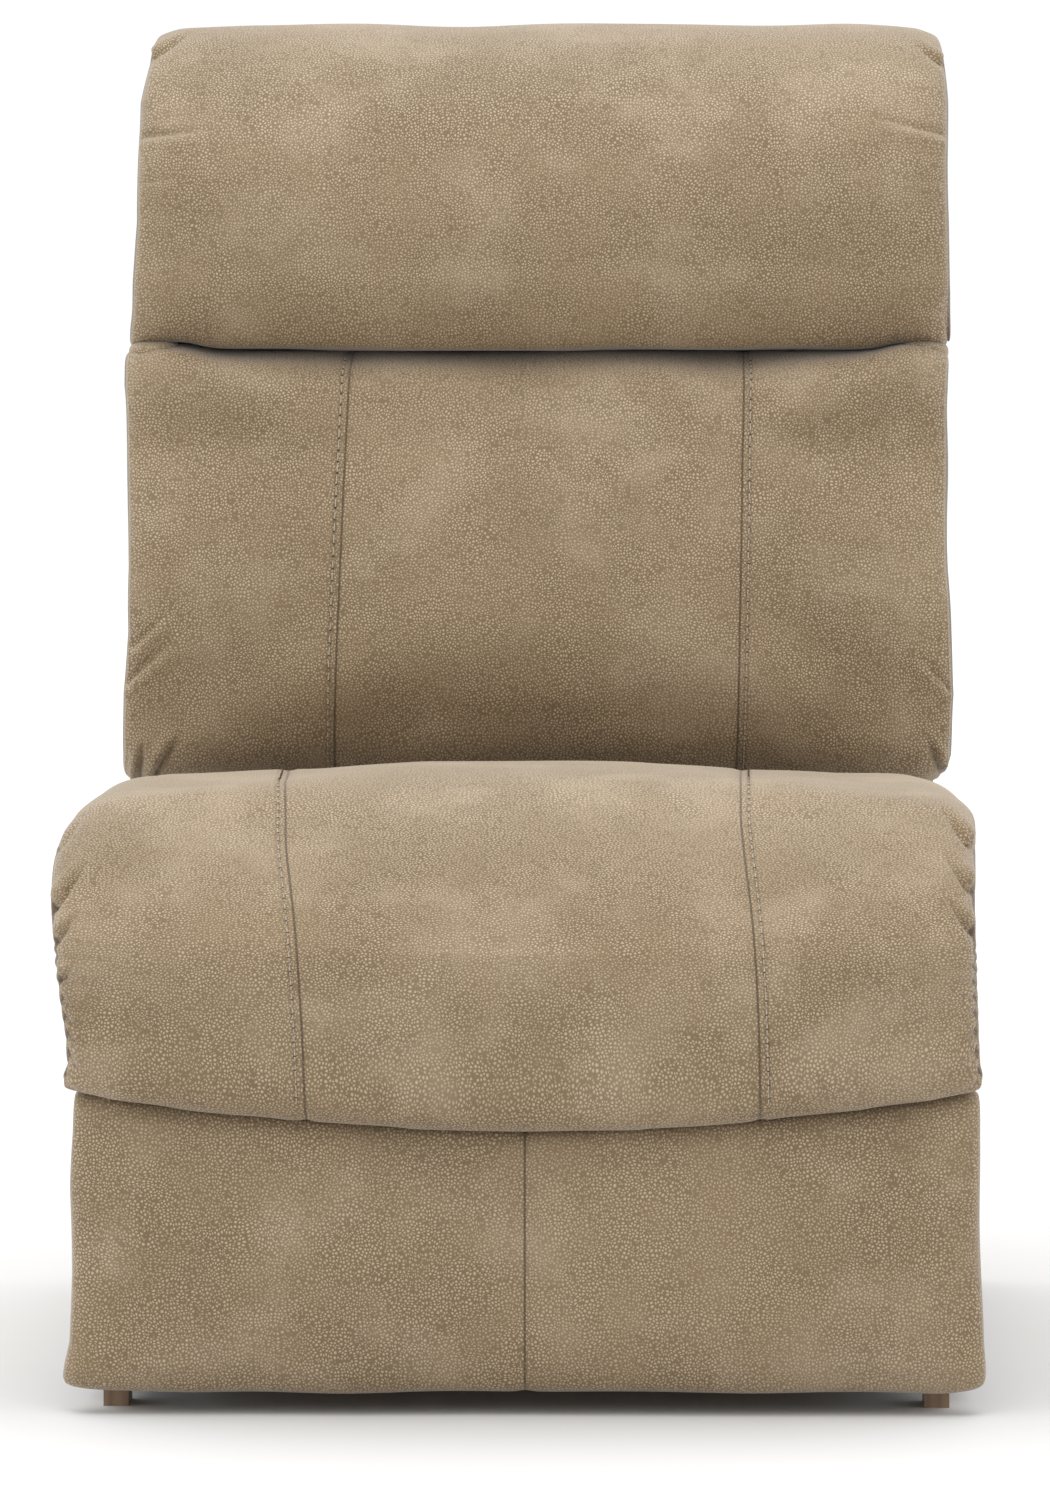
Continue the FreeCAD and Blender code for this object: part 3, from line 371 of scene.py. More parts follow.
def shell_of(solid_names, name, voxel, rounding, inset):
    """A closed, rounded and evenly meshed copy of some solids, drawn in from their faces."""
    gathered = bmesh.new()
    for solid in solid_names:
        gathered.from_mesh(solids[solid].data)
    bmesh.ops.remove_doubles(gathered, verts=gathered.verts, dist=0.00002)
    mesh = bpy.data.meshes.new(name)
    gathered.to_mesh(mesh)
    gathered.free()
    shell = bpy.data.objects.new(name, mesh)
    scene.collection.objects.link(shell)
    remesh = shell.modifiers.new("even", "REMESH")
    remesh.mode = "VOXEL"
    remesh.voxel_size = voxel
    soften = shell.modifiers.new("round", "SMOOTH")
    soften.factor = 0.5
    soften.iterations = rounding
    baked(shell)
    points = points_of(shell.data) - inset * normals_of(shell.data)
    move_points(shell.data, points)
    return shell


def evened(mesh, moves, rounds):
    """Moves of a mesh's points, each averaged with its neighbours' some times over."""
    ends = np.empty(len(mesh.edges) * 2, int)
    mesh.edges.foreach_get("vertices", ends)
    first, second = ends.reshape(-1, 2).T
    joined = np.bincount(ends, minlength=len(moves))[:, None]
    for _ in range(rounds):
        total = np.zeros_like(moves)
        for axis in range(3):
            total[:, axis] += np.bincount(first, moves[second, axis], len(moves))
            total[:, axis] += np.bincount(second, moves[first, axis], len(moves))
        moves = 0.5 * moves + 0.5 * total / joined
    return moves


def stuff(shell, held, cap):
    """Swells a shell by cloth under pressure, with its held points fixed and its swelling capped."""
    start = points_of(shell.data)
    group = shell.vertex_groups.new(name="held")
    for step in np.unique(np.round(held, 1)):
        members = np.flatnonzero(np.round(held, 1) == step)
        if step > 0.0:
            group.add(members.tolist(), float(step), "REPLACE")
    cloth = shell.modifiers.new("stuffing", "CLOTH")
    cloth.settings.quality = 3
    cloth.settings.mass = 0.3
    cloth.settings.tension_stiffness = 18.0
    cloth.settings.compression_stiffness = 18.0
    cloth.settings.shear_stiffness = 8.0
    cloth.settings.bending_stiffness = 3.0
    cloth.settings.use_pressure = True
    cloth.settings.uniform_pressure_force = PRESSURE
    cloth.settings.effector_weights.gravity = 0.0
    cloth.settings.vertex_group_mass = "held"
    cloth.point_cache.frame_start = 1
    cloth.point_cache.frame_end = CLOTH_FRAMES
    for tick in range(1, CLOTH_FRAMES + 1):
        scene.frame_set(tick)
    baked(shell)
    shell.vertex_groups.clear()
    scene.frame_set(1)
    move = points_of(shell.data) - start
    far = np.maximum(np.linalg.norm(move, axis=1), 1e-9)
    capped = move * (cap * np.tanh(far / cap) / far)[:, None]
    move_points(shell.data, start + evened(shell.data, capped, EVENING_ROUNDS))


def fit_to_solid(shell, solid):
    """Stretches a shell until its box is its solid's own."""
    low, high = [np.array(corner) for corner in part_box(solid)]
    points = points_of(shell.data)
    start = points.min(axis=0)
    span = points.max(axis=0) - start
    move_points(shell.data, low + (points - start) * (high - low) / span)


def subdivided(shell):
    """One level of smooth subdivision, baked in."""
    finer = shell.modifiers.new("finer", "SUBSURF")
    finer.levels = 1
    finer.render_levels = 1
    baked(shell)
    shell.data.shade_smooth()


def lay_hide(shell, profile=None):
    """Keeps where each face lies on the flat hide, from the side, the front or above, or along a profile."""
    mesh = shell.data
    points = points_of(mesh)
    corners = np.empty(len(mesh.loops), int)
    mesh.loops.foreach_get("vertex_index", corners)
    facing = np.empty(len(mesh.polygons) * 3)
    mesh.polygons.foreach_get("normal", facing)
    sizes = np.empty(len(mesh.polygons), int)
    mesh.polygons.foreach_get("loop_total", sizes)
    main = np.repeat(np.argmax(np.abs(facing.reshape(-1, 3)) * (0.8, 1.0, 1.0), axis=1), sizes)
    x, y, z = points[corners].T
    along = np.where(main == 2, y, z) if profile is None else profile[corners]
    place = np.column_stack((np.where(main == 0, y, x), np.where(main == 0, z, along), np.zeros(len(x))))
    kept = mesh.attributes.new("hide", "FLOAT_VECTOR", "CORNER")
    kept.data.foreach_set("vector", place.ravel())


def mark_seams(shell, offset, name="seam_offset"):
    """Keeps how far each point lies beyond its seam or its row of stitches, for the painted shade along the seams and
    the sunk rows of stitches in the leather.
    """
    kept = shell.data.attributes.new(name, "FLOAT", "POINT")
    kept.data.foreach_set("value", np.clip(offset, -SEAM_REACH, SEAM_REACH))


def groove(points, normals, gap, depth, width):
    """Draws a surface in along a seam."""
    return points - normals * (depth * np.exp(-(gap / width) ** 2))[:, None]


def creased(points, normals, facing, folds):
    """Soft folds seen from the front, each from one place to another in x and z, with a width and a depth.

    The cover is tucked in above the line and rolls out below it, or the other way about if the width is negative.
    """
    for start, end, width, depth in folds:
        start = np.array(start)
        run = np.array(end) - start
        seen = points[:, [0, 2]] - start
        share = np.clip(seen @ run / (run @ run), 0.0, 1.0)
        away = seen - share[:, None] * run
        above = (away[:, 1] * np.abs(run[0]) - away[:, 0] * run[1] * np.sign(run[0])) / np.linalg.norm(run)
        beside = np.linalg.norm(away, axis=1)
        across = np.where(above < 0.0, -beside, beside) / width
        tucked = 0.75 * np.exp(-(across / 0.36) ** 2) + 0.25 * np.exp(-(across / 1.2) ** 2)
        rolled = 0.5 * np.exp(-((across + 1.0) / 0.7) ** 2)
        fade = ease(1.0, 0.30, share)
        points = points + normals * (depth * fade * (rolled - tucked) * facing)[:, None]
    return points


def reaching(points, way, level, reach):
    """Stretches an edge up (way 1) or down (way -1) to meet a line of some heights, and squares its corners."""
    column = np.round((points[:, 0] - points[:, 0].min()) / JOINT_COLUMN).astype(int)
    edge = np.full(column.max() + 1, -np.inf)
    np.maximum.at(edge, column, way * points[:, 2])
    middle = points[:, 0].min() + JOINT_COLUMN * np.arange(len(edge))
    short = way * level - np.interp(points[:, 0], middle, edge)
    share = ease(way * level - reach, way * level, way * points[:, 2] + short)
    points = points.copy()
    points[:, 2] += way * short * share
    corner = ease(0.285, 0.318, np.abs(points[:, 0])) * share ** 2
    points[:, 0] += np.sign(points[:, 0]) * JOINT_CORNER * corner
    return points


def joint_height(points):
    """The height of the line where the head bolster meets the lumbar cushion, raised a little towards its ends."""
    return BACK_JOINT + JOINT_RISE * np.exp(-((np.abs(points[:, 0]) - JOINT_RISE_AT) / JOINT_RISE_SPREAD) ** 2)


def pulled_ends(points, heights, left, right):
    """Draws the two ends of a cushion in and out with height, by shares of its own half width."""
    stretch = np.where(points[:, 0] < 0.0, np.interp(points[:, 2], heights, left),
                       np.interp(points[:, 2], heights, right)) - 1.0
    points = points.copy()
    points[:, 0] *= 1.0 + stretch * ease(0.15, 0.32, np.abs(points[:, 0]))
    return points


def refined(shell, chosen):
    """Divides the faces once more where a piece has its small folds."""
    finer = bmesh.new()
    finer.from_mesh(shell.data)
    edges = [edge for edge in finer.edges if chosen[edge.verts[0].index] and chosen[edge.verts[1].index]]
    bmesh.ops.subdivide_edges(finer, edges=edges, cuts=1, use_grid_fill=True)
    finer.to_mesh(shell.data)
    finer.free()
    shell.data.shade_smooth()


def dress(piece, body, fill, *stands_for):
    """Finishes a leather piece: material, body, and the solids it stands for."""
    piece.data.materials.clear()
    piece.data.materials.append(leather)
    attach(piece, body)
    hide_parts(*stands_for)


# Seat cushion

def seat_travel(points):
    """How far along the seat cover a point is: 0 at the rear, 1 at the crest and 2 under the roll."""
    over = np.clip((SEAT_REAR - points[:, 1]) / (SEAT_REAR - ROLL_Y), 0.0, 1.0)
    turn = np.arctan2(ROLL_Y - points[:, 1], points[:, 2] - ROLL_Z)
    return np.where(points[:, 1] > ROLL_Y, over, 1.0 + np.clip(turn / ROLL_TURN, 0.0, 1.0))


def seat_seam_x(seam, travel):
    """Where a seat seam lies across the seat at some way along it."""
    rear, crest, lip = seam
    return rear + (crest - rear) * np.clip(travel, 0.0, 1.0) + (lip - crest) * ease(0.9, 2.0, travel)


def seat_seam_offset(points):
    """How far a point lies beyond the seat seam on its own side, or short of the boxing seam at the end."""
    travel = seat_travel(points)
    left, right = [seat_seam_x(seam, travel) for seam in SEAT_SEAMS]
    beyond = np.where(points[:, 0] < 0.0, left - points[:, 0], points[:, 0] - right)
    return np.minimum(beyond, SEAT_BOXING - np.abs(points[:, 0]))


# Folds at the ends of the roll, from the boxing seam up into the front.
SEAT_FOLDS = (
    ((-0.341, 0.356), (-0.308, 0.398), -0.0056, 0.0058),
    ((-0.339, 0.332), (-0.314, 0.364), -0.0050, 0.0052),
    ((-0.335, 0.306), (-0.314, 0.328), -0.0044, 0.0040),
    ((-0.340, 0.396), (-0.316, 0.426), -0.0056, 0.0040),
    ((0.326, 0.397), (0.292, 0.438), -0.0058, 0.0064),
    ((0.326, 0.365), (0.292, 0.408), -0.0058, 0.0064),
    ((0.324, 0.338), (0.296, 0.373), -0.0052, 0.0056),
)
# How far the ends of the roll stand out at some heights, against the solid.
SEAT_HEIGHTS = (0.222, 0.235, 0.25, 0.27, 0.31, 0.36, 0.40, 0.42, 0.43, 0.44, 0.45)
SEAT_LEFT = (1.042, 1.012, 0.989, 0.990, 1.011, 1.031, 1.036, 1.022, 1.029, 1.045, 1.075)
SEAT_RIGHT = (1.020, 1.000, 0.982, 0.976, 0.970, 0.974, 0.986, 1.002, 1.013, 1.022, 1.045)


def filled_lip(points):
    """Fills out the lower front of the roll, so that the cover turns under it at a fuller edge."""
    lip = LIP_Z + LIP_RISE * (points[:, 0] / HALF_WIDTH) ** 2
    near = np.exp(-((points[:, 1] - LIP_Y) ** 2 + (points[:, 2] - lip) ** 2) / (2.0 * LIP_SPREAD ** 2))
    return points + (LIP_FILL * near)[:, None] * np.array((0.0, -0.62, -0.78))


def raised_shoulders(points):
    """Fills out the top of the seat towards its two ends."""
    near = np.exp(-((np.abs(points[:, 0]) - SHOULDER_X) / SHOULDER_SPREAD) ** 2) * ease(0.36, 0.44, points[:, 2])
    return points + (SHOULDER_RISE * near)[:, None] * np.array((0.0, 0.0, 1.0))


def seat_pad():
    """The seat cushion with its rolled front, two long seams and gathered ends."""
    pad = shell_of(["seat_cushion"], "seat_pad", 0.0075, 9, 0.004)
    points = points_of(pad.data)
    normals = normals_of(pad.data)
    under = ease(0.3, 0.7, -normals[:, 2])
    rear = ease(0.09, 0.12, points[:, 1])
    ends = 0.7 * ease(0.5, 0.8, np.abs(normals[:, 0]))
    stuff(pad, np.max([under, rear, ends], axis=0), SWELL)
    fit_to_solid(pad, "seat_cushion")
    subdivided(pad)
    points = points_of(pad.data)
    refined(pad, (np.abs(points[:, 0]) > 0.285) & (points[:, 1] < -0.355))
    points = points_of(pad.data)
    refined(pad, (np.abs(points[:, 0]) > 0.292) & (points[:, 1] < -0.385))
    points = raised_shoulders(filled_lip(points_of(pad.data)))
    offset = seat_seam_offset(points)
    points = pulled_ends(points, SEAT_HEIGHTS, SEAT_LEFT, SEAT_RIGHT)
    move_points(pad.data, points)
    normals = normals_of(pad.data)
    points = groove(points, normals, offset, 0.0014, 0.004)
    front = ease(-0.37, -0.41, points[:, 1])
    points = creased(points, normals, front * ease(1.01, 0.90, np.abs(normals[:, 0])), SEAT_FOLDS)
    end = ease(0.296, 0.320, np.abs(points[:, 0])) * front
    end *= ease(0.345, 0.315, points[:, 2]) * ease(0.222, 0.240, points[:, 2])
    turn = np.arctan2(ROLL_Y - points[:, 1], points[:, 2] - ROLL_Z)
    phase = turn * ROLL_RADIUS / GATHER_PITCH + 0.35 * waver(points * (0.3, 1.0, 1.0), 0.080, 5)
    points = points + normals * (GATHER_DEPTH * end * (np.abs(np.sin(math.pi * phase)) - 0.6))[:, None]
    points = points + normals * (0.0012 * waver(points, 0.16, 8))[:, None]
    room = np.exp(-((np.abs(points[:, 0]) - LINK_LINE) / LINK_SPREAD) ** 2) * ease(-0.488, -0.470, points[:, 1])
    points[:, 2] += LINK_ROOM * room * ease(0.245, 0.228, points[:, 2])
    move_points(pad.data, points)
    mark_seams(pad, offset)
    mark_seams(pad, offset - STITCH_BAND, "stitch_offset")
    lay_hide(pad, np.where(points[:, 1] > ROLL_Y, points[:, 1], ROLL_Y - 1.18 * turn * ROLL_RADIUS))
    dress(pad, "carriage", 0.8, "seat_cushion")
    return pad


# Footrest cushion

# How far the ends of the panel stand out at some heights, against the solid.
FOOTREST_HEIGHTS = (0.025, 0.05, 0.10, 0.16, 0.20)
FOOTREST_LEFT = (1.036, 1.018, 1.012, 1.013, 1.007)
FOOTREST_RIGHT = (1.028, 1.020, 1.016, 1.012, 1.009)


def footrest_pad():
    """The front panel on the footrest board, sewn down its middle, with its top tucked under the lip."""
    pad = shell_of(["footrest_cushion"], "footrest_pad", 0.006, 3, 0.003)
    points = points_of(pad.data)
    normals = normals_of(pad.data)
    held = np.max([ease(0.2, 0.6, normals[:, 1]), 0.4 * np.exp(-(points[:, 0] / 0.008) ** 2)], axis=0)
    stuff(pad, held, FOOTREST_SWELL)
    fit_to_solid(pad, "footrest_cushion")
    subdivided(pad)
    points = points_of(pad.data)
    points[:, 2] += 0.0045 * ease(0.14, 0.195, points[:, 2]) - 0.0095 * ease(0.09, 0.03, points[:, 2])
    points = pulled_ends(points, FOOTREST_HEIGHTS, FOOTREST_LEFT, FOOTREST_RIGHT)
    move_points(pad.data, points)
    normals = normals_of(pad.data)
    points = groove(points, normals, points[:, 0], 0.0012, 0.005)
    points = points + normals * (0.0010 * waver(points, 0.13, 21))[:, None]
    move_points(pad.data, points)
    mark_seams(pad, points[:, 0])
    lay_hide(pad)
    dress(pad, "footrest", 0.7, "footrest_cushion")


# Back cushions

def lumbar_seam_offset(points):
    """How far a point lies beyond the lumbar seam on its own side, or short of the boxing seam at the edge."""
    share = np.clip((LUMBAR_TOP - points[:, 2]) / (LUMBAR_TOP - LUMBAR_BOTTOM), 0.0, 1.0)
    left, right = [top + (low - top) * share for top, low in LUMBAR_SEAMS]
    beyond = np.where(points[:, 0] < 0.0, left - points[:, 0], points[:, 0] - right)
    return np.minimum(beyond, BACK_BOXING - np.abs(points[:, 0]))


# How far the ends of each back cushion stand out at some heights, against the solid, and its folds.
LUMBAR_HEIGHTS = (0.42, 0.44, 0.49, 0.54, 0.59, 0.64, 0.685, 0.726, 0.758)
LUMBAR_LEFT = (1.042, 1.035, 1.032, 1.017, 1.016, 1.026, 1.031, 1.036, 1.020)
LUMBAR_RIGHT = (1.006, 1.020, 1.028, 1.017, 1.010, 1.010, 1.012, 1.013, 1.004)
LUMBAR_FOLDS = (
    ((-0.332, 0.500), (-0.285, 0.540), 0.0080, 0.0045),
    ((-0.326, 0.528), (-0.292, 0.560), 0.0070, 0.0030),
    ((-0.323, 0.420), (-0.317, 0.456), -0.0050, 0.0060),
    ((-0.308, 0.422), (-0.284, 0.462), -0.0070, 0.0070),
    ((0.330, 0.495), (0.300, 0.525), 0.0070, 0.0035),
    ((0.326, 0.420), (0.308, 0.462), -0.0060, 0.0070),
)


def lumbar_pad():
    """The lower back cushion: three panels between two sewn seams, tucked at its lower corners."""
    pad = shell_of(["lumbar_cushion"], "lumbar_pad", 0.007, 5, 0.004)
    points = points_of(pad.data)
    normals = normals_of(pad.data)
    behind = ease(0.35, 0.75, normals[:, 1])
    sides = 0.8 * ease(0.5, 0.8, np.abs(normals[:, 0]))
    stuff(pad, np.max([behind, sides], axis=0), SWELL)
    fit_to_solid(pad, "lumbar_cushion")
    subdivided(pad)
    points = points_of(pad.data)
    refined(pad, (np.abs(points[:, 0]) > 0.260) & (points[:, 1] < 0.30) & (points[:, 2] < 0.56))
    points = points_of(pad.data)
    front = ease(0.28, 0.20, points[:, 1] - 0.21 * (points[:, 2] - LUMBAR_BOTTOM))
    points[:, 1] += LUMBAR_TURN * front * np.clip((0.55 - points[:, 2]) / 0.15, 0.0, 1.0) ** 2
    points[:, 1] -= LUMBAR_CROWN * front * ease(0.68, 0.745, points[:, 2])
    offset = lumbar_seam_offset(points)
    points = pulled_ends(points, LUMBAR_HEIGHTS, LUMBAR_LEFT, LUMBAR_RIGHT)
    move_points(pad.data, points)
    normals = normals_of(pad.data)
    facing = ease(-0.1, 0.3, -normals[:, 1]) * ease(0.97, 0.70, np.abs(normals[:, 0]))
    points = groove(points, normals, offset, 0.0016, 0.004)
    points = creased(points, normals, facing, LUMBAR_FOLDS)
    points = points + normals * (0.0014 * waver(points, 0.15, 33))[:, None]
    points = reaching(points, 1.0, joint_height(points) + LUMBAR_OVERLAP, JOINT_REACH)
    move_points(pad.data, points)
    mark_seams(pad, offset)
    mark_seams(pad, offset - STITCH_BAND, "stitch_offset")
    lay_hide(pad)
    dress(pad, "back", 0.75, "lumbar_cushion")
    return pad


HEAD_HEIGHTS = (0.775, 0.79, 0.82, 0.87, 0.92, 0.97, 1.003)
HEAD_LEFT = (1.016, 1.020, 1.017, 1.008, 1.012, 1.014, 0.998)
HEAD_RIGHT = (1.002, 1.007, 1.016, 1.020, 1.020, 1.024, 1.022)
HEAD_FOLDS = (
    ((-0.330, 0.941), (-0.258, 0.946), 0.0090, 0.0042),
    ((-0.326, 0.901), (-0.292, 0.906), 0.0060, 0.0014),
    ((-0.330, 1.004), (-0.284, 1.034), -0.0050, 0.0052),
    ((0.330, 0.943), (0.262, 0.957), 0.0090, 0.0042),
    ((0.327, 0.902), (0.296, 0.905), 0.0060, 0.0010),
    ((0.334, 1.000), (0.300, 1.024), -0.0050, 0.0052),
)


def head_pad():
    """The head bolster, tucked at its top corners and pulled at its sides."""
    pad = shell_of(["head_bolster"], "head_pad", 0.007, 4, 0.004)
    points = points_of(pad.data)
    normals = normals_of(pad.data)
    behind = ease(0.45, 0.8, normals[:, 1])
    beneath = ease(0.5, 0.8, -normals[:, 2])
    sides = 0.8 * ease(0.5, 0.8, np.abs(normals[:, 0]))
    stuff(pad, np.max([behind, beneath, sides], axis=0), SWELL)
    fit_to_solid(pad, "head_bolster")
    subdivided(pad)
    points = points_of(pad.data)
    refined(pad, (np.abs(points[:, 0]) > 0.255) & (points[:, 1] < 0.42) & (points[:, 2] > 0.89))
    points = points_of(pad.data)
    offset = BACK_BOXING - np.abs(points[:, 0])
    points = pulled_ends(points, HEAD_HEIGHTS, HEAD_LEFT, HEAD_RIGHT)
    move_points(pad.data, points)
    normals = normals_of(pad.data)
    points = groove(points, normals, offset, 0.0012, 0.004)
    facing = ease(-0.3, 0.2, -normals[:, 1]) * ease(0.99, 0.80, np.abs(normals[:, 0]))
    points = creased(points, normals, facing, HEAD_FOLDS)
    points = points + normals * (0.0016 * waver(points, 0.17, 44))[:, None]
    points = reaching(points, -1.0, joint_height(points) - HEAD_OVERLAP, JOINT_REACH)
    move_points(pad.data, points)
    mark_seams(pad, offset)
    lay_hide(pad)
    dress(pad, "back", 0.7, "head_bolster")


def upholstered_panel(solid, name, body, voxel, rounding, seed):
    """A leather-covered board with soft edges."""
    cover = shell_of([solid], name, voxel, rounding, 0.0)
    snug = cover.modifiers.new("snug", "SHRINKWRAP")
    snug.target = solids[solid]
    snug.wrap_method = "NEAREST_SURFACEPOINT"
    soften = cover.modifiers.new("soften", "SMOOTH")
    soften.factor = 0.5
    soften.iterations = 2
    subdivided(cover)
    points = points_of(cover.data)
    points = points + normals_of(cover.data) * (0.0007 * waver(points, 0.12, seed))[:, None]
    move_points(cover.data, points)
    mark_seams(cover, np.full(len(points), SEAM_REACH))
    lay_hide(cover)
    dress(cover, body, None, solid)


def joint_gusset(across, name):
    """A small leather tuck at the end of the joint between the head bolster and the lumbar cushion."""
    ball = bmesh.new()
    bmesh.ops.create_icosphere(ball, subdivisions=4, radius=1.0)
    mesh = bpy.data.meshes.new(name)
    ball.to_mesh(mesh)
    ball.free()
    gusset = bpy.data.objects.new(name, mesh)
    scene.collection.objects.link(gusset)
    points = points_of(mesh)
    points = np.sign(points) * np.abs(points) ** GUSSET_SQUARENESS
    move_points(mesh, points * GUSSET_SIZE + np.array((across, *GUSSET_PLACE)))
    mesh.shade_smooth()
    mark_seams(gusset, np.full(len(mesh.vertices), SEAM_REACH))
    lay_hide(gusset)
    mesh.materials.append(leather)
    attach(gusset, "back")


seat = seat_pad()
footrest_pad()
lumbar = lumbar_pad()
head_pad()
for across, gusset_name in GUSSET_ENDS:
    joint_gusset(across, gusset_name)
upholstered_panel("outside_back", "outside_back_cover", "back", 0.0065, 4, 51)
upholstered_panel("back_side_left", "back_side_cover_left", "back", 0.005, 2, 52)
upholstered_panel("back_side_right", "back_side_cover_right", "back", 0.005, 2, 53)
upholstered_panel("side_panel_left", "side_cover_left", "carriage", 0.004, 2, 54)
upholstered_panel("side_panel_right", "side_cover_right", "carriage", 0.004, 2, 55)


# Stitching

def stitch_tree():
    """Geometry nodes that lay stitches along a curve."""
    tree = bpy.data.node_groups.new("stitch_row", "GeometryNodeTree")
    face = tree.interface
    face.new_socket("Geometry", in_out="INPUT", socket_type="NodeSocketGeometry")
    face.new_socket("Pitch", in_out="INPUT", socket_type="NodeSocketFloat")
    face.new_socket("Length", in_out="INPUT", socket_type="NodeSocketFloat")
    face.new_socket("Thickness", in_out="INPUT", socket_type="NodeSocketFloat")
    face.new_socket("Thread", in_out="INPUT", socket_type="NodeSocketMaterial")
    face.new_socket("Geometry", in_out="OUTPUT", socket_type="NodeSocketGeometry")
    inside = tree.nodes.new("NodeGroupInput")
    row = put(tree, "GeometryNodeResampleCurve", {"Curve": inside.outputs["Geometry"],
                                                  "Length": inside.outputs["Pitch"]}, mode="LENGTH")
    ball = put(tree, "GeometryNodeMeshUVSphere", {"Segments": 6, "Rings": 5, "Radius": 0.5})
    size = put(tree, "ShaderNodeCombineXYZ", {"X": inside.outputs["Thickness"], "Y": inside.outputs["Thickness"],
                                              "Z": inside.outputs["Length"]})
    heading = put(tree, "GeometryNodeInputTangent")
    turn = put(tree, "FunctionNodeAlignEulerToVector", {"Vector": heading.outputs[0]}, axis="Z")
    sewn = put(tree, "GeometryNodeInstanceOnPoints", {"Points": row.outputs[0], "Instance": ball.outputs["Mesh"],
                                                      "Rotation": turn.outputs[0], "Scale": size.outputs[0]})
    loose = put(tree, "GeometryNodeRealizeInstances", {0: sewn.outputs[0]})
    smooth = put(tree, "GeometryNodeSetShadeSmooth", {0: loose.outputs[0]})
    coloured = put(tree, "GeometryNodeSetMaterial", {"Geometry": smooth.outputs[0],
                                                    "Material": inside.outputs["Thread"]})
    outside = tree.nodes.new("NodeGroupOutput")
    tree.links.new(coloured.outputs[0], outside.inputs[0])
    return tree


stitch_rows = stitch_tree()


def row_of(name, body, paths, length, thickness, look):
    """Stitches, or dark beads of painted shade for the needle holes, along paths on a pad, as one mesh that rides with
    the pad's body.
    """
    line = bpy.data.curves.new(name + "_line", "CURVE")
    line.dimensions = "3D"
    for path in paths:
        spline = line.splines.new("POLY")
        spline.points.add(len(path) - 1)
        for point, place in zip(spline.points, path):
            point.co = (*place, 1.0)
    holder = bpy.data.objects.new(name + "_line", line)
    scene.collection.objects.link(holder)
    laid = holder.modifiers.new("stitches", "NODES")
    laid.node_group = stitch_rows
    sizes = {"Pitch": STITCH_PITCH, "Length": length, "Thickness": thickness, "Thread": look}
    for socket in stitch_rows.interface.items_tree:
        if socket.name in sizes:
            laid[socket.identifier] = sizes[socket.name]
    bpy.context.view_layer.update()
    made = bpy.data.meshes.new_from_object(holder.evaluated_get(bpy.context.evaluated_depsgraph_get()))
    bpy.data.objects.remove(holder)
    row = bpy.data.objects.new(name, made)
    scene.collection.objects.link(row)
    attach(row, body)


def sew(name, body, paths):
    """A row of stitches on each path, with a dark bead of painted shade for the needle hole between each two."""
    row_of(name + "_stitches", body, paths, STITCH_LENGTH, STITCH_THICKNESS, thread)
    between = []
    for path in paths:
        run = (path[1] - path[0]).normalized() * STITCH_PITCH / 2.0
        between.append([path[0] + run] + path[2:])
    row_of(name + "_holes", body, between, NEEDLE_HOLE_SHADE, NEEDLE_HOLE_SHADE, needle_hole_shade)


def surface_of(pad):
    """A pad's faces for finding where a line meets them."""
    faces = [tuple(face.vertices) for face in pad.data.polygons]
    return BVHTree.FromPolygons([point.co for point in pad.data.vertices], faces)


def touch(surface, start, way):
    """The place where a line first meets a surface, raised so that a stitch lies half sunk in it."""
    place, normal, _, _ = surface.ray_cast(Vector(start), Vector(way))
    if place is None:
        return None
    return place + normal * 0.3 * STITCH_THICKNESS


def seat_stitch_path(surface, seam, outward):
    """A row of stitches beside a seat seam, from the rear over the roll to its lip."""
    path = []
    for y in np.linspace(0.10, ROLL_Y, 60):
        travel = (SEAT_REAR - y) / (SEAT_REAR - ROLL_Y)
        x = seat_seam_x(seam, travel) + outward * STITCH_BAND
        path.append(touch(surface, (x, y, 0.8), (0, 0, -1)))
    for turn in np.linspace(0.03, 2.35, 60):
        x = seat_seam_x(seam, 1.0 + turn / ROLL_TURN) + outward * STITCH_BAND
        way = (0.0, math.sin(turn), -math.cos(turn))
        path.append(touch(surface, (x, ROLL_Y - way[1] * 0.3, ROLL_Z - way[2] * 0.3), way))
    return [place for place in path if place is not None]


def lumbar_stitch_path(surface, seam, outward):
    """A row of stitches beside a lumbar seam, from top to bottom."""
    path = []
    for share in np.linspace(0.02, 0.98, 80):
        x = seam[0] + (seam[1] - seam[0]) * share + outward * STITCH_BAND
        z = LUMBAR_TOP + (LUMBAR_BOTTOM - LUMBAR_TOP) * share
        path.append(touch(surface, (x, -0.2, z), (0, 1, 0)))
    return [place for place in path if place is not None]


for name, body, pad, seams, path_of in (
        ("seat", "carriage", seat, SEAT_SEAMS, seat_stitch_path),
        ("lumbar", "back", lumbar, LUMBAR_SEAMS, lumbar_stitch_path)):
    surface = surface_of(pad)
    sew(name, body, [path_of(surface, seam, outward) for seam, outward in zip(seams, (-1.0, 1.0))])


# Finishes on the solids that show

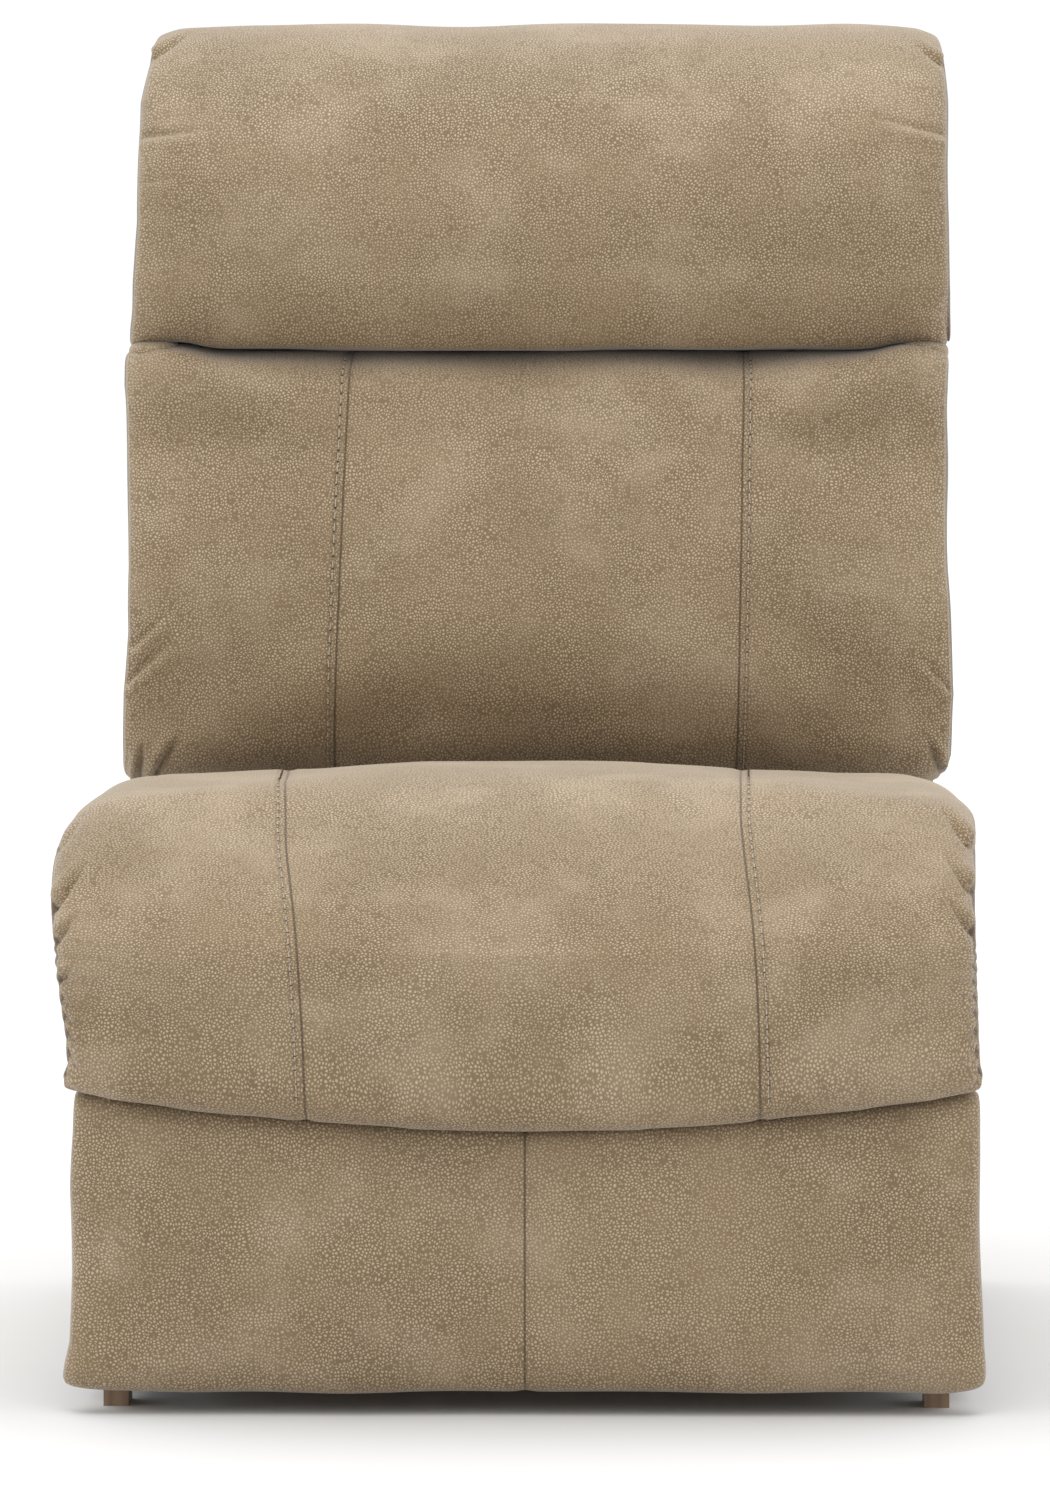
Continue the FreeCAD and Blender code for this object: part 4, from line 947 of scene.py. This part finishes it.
for part in frame["record"]["subparts"]:
    shown = solids[part["node"]]
    shown.data.materials.clear()
    shown.data.materials.append(finishes[part["material_slot"]])


# Studio

def floor_finish():
    """Pale matt floor, mottled a little."""
    finish, tree, shader = new_finish("pale_floor")
    spot = put(tree, "ShaderNodeTexCoord").outputs["Object"]
    tone = blend_colours(tree, noise(tree, spot, 1.5, 3.0), (0.690, 0.690, 0.690, 1), (0.700, 0.700, 0.700, 1))
    tree.links.new(tone, shader.inputs["Base Color"])
    shader.inputs["Roughness"].default_value = 0.9
    shader.inputs["Specular IOR Level"].default_value = 0.1
    return finish


def studio_floor():
    """A wide flat floor."""
    sheet = bmesh.new()
    bmesh.ops.create_grid(sheet, x_segments=8, y_segments=8, size=40.0)
    mesh = bpy.data.meshes.new("studio_floor")
    sheet.to_mesh(mesh)
    sheet.free()
    mesh.materials.append(floor_finish())
    floor = bpy.data.objects.new("studio_floor", mesh)
    scene.collection.objects.link(floor)


def studio_light():
    """An even white surround with one very soft light from above, a little behind the seat."""
    world = bpy.data.worlds.new("white_surround")
    world.use_nodes = True
    world.node_tree.nodes["Background"].inputs["Color"].default_value = (1.0, 1.0, 1.0, 1)
    world.node_tree.nodes["Background"].inputs["Strength"].default_value = 1.03
    scene.world = world
    overhead = bpy.data.lights.new("overhead_light", "SUN")
    overhead.energy = 2.0
    overhead.angle = math.radians(75.0)
    holder = bpy.data.objects.new("overhead_light", overhead)
    holder.rotation_euler = Vector((0.12, -0.10, -1.0)).to_track_quat("-Z", "Y").to_euler()
    scene.collection.objects.link(holder)
    scene.view_settings.view_transform = "Standard"


def photograph_camera():
    """A long lens from the front, a little right of the middle and looking slightly down."""
    lens = bpy.data.cameras.new("photograph_camera")
    lens.lens = 163.1
    lens.sensor_width = 36.0
    holder = bpy.data.objects.new("photograph_camera", lens)
    holder.location = (0.085, -5.31, 0.70)
    holder.rotation_euler = (math.radians(90.0 - 2.7), 0.0, math.radians(1.006))
    scene.collection.objects.link(holder)
    scene.camera = holder


studio_floor()
studio_light()
photograph_camera()
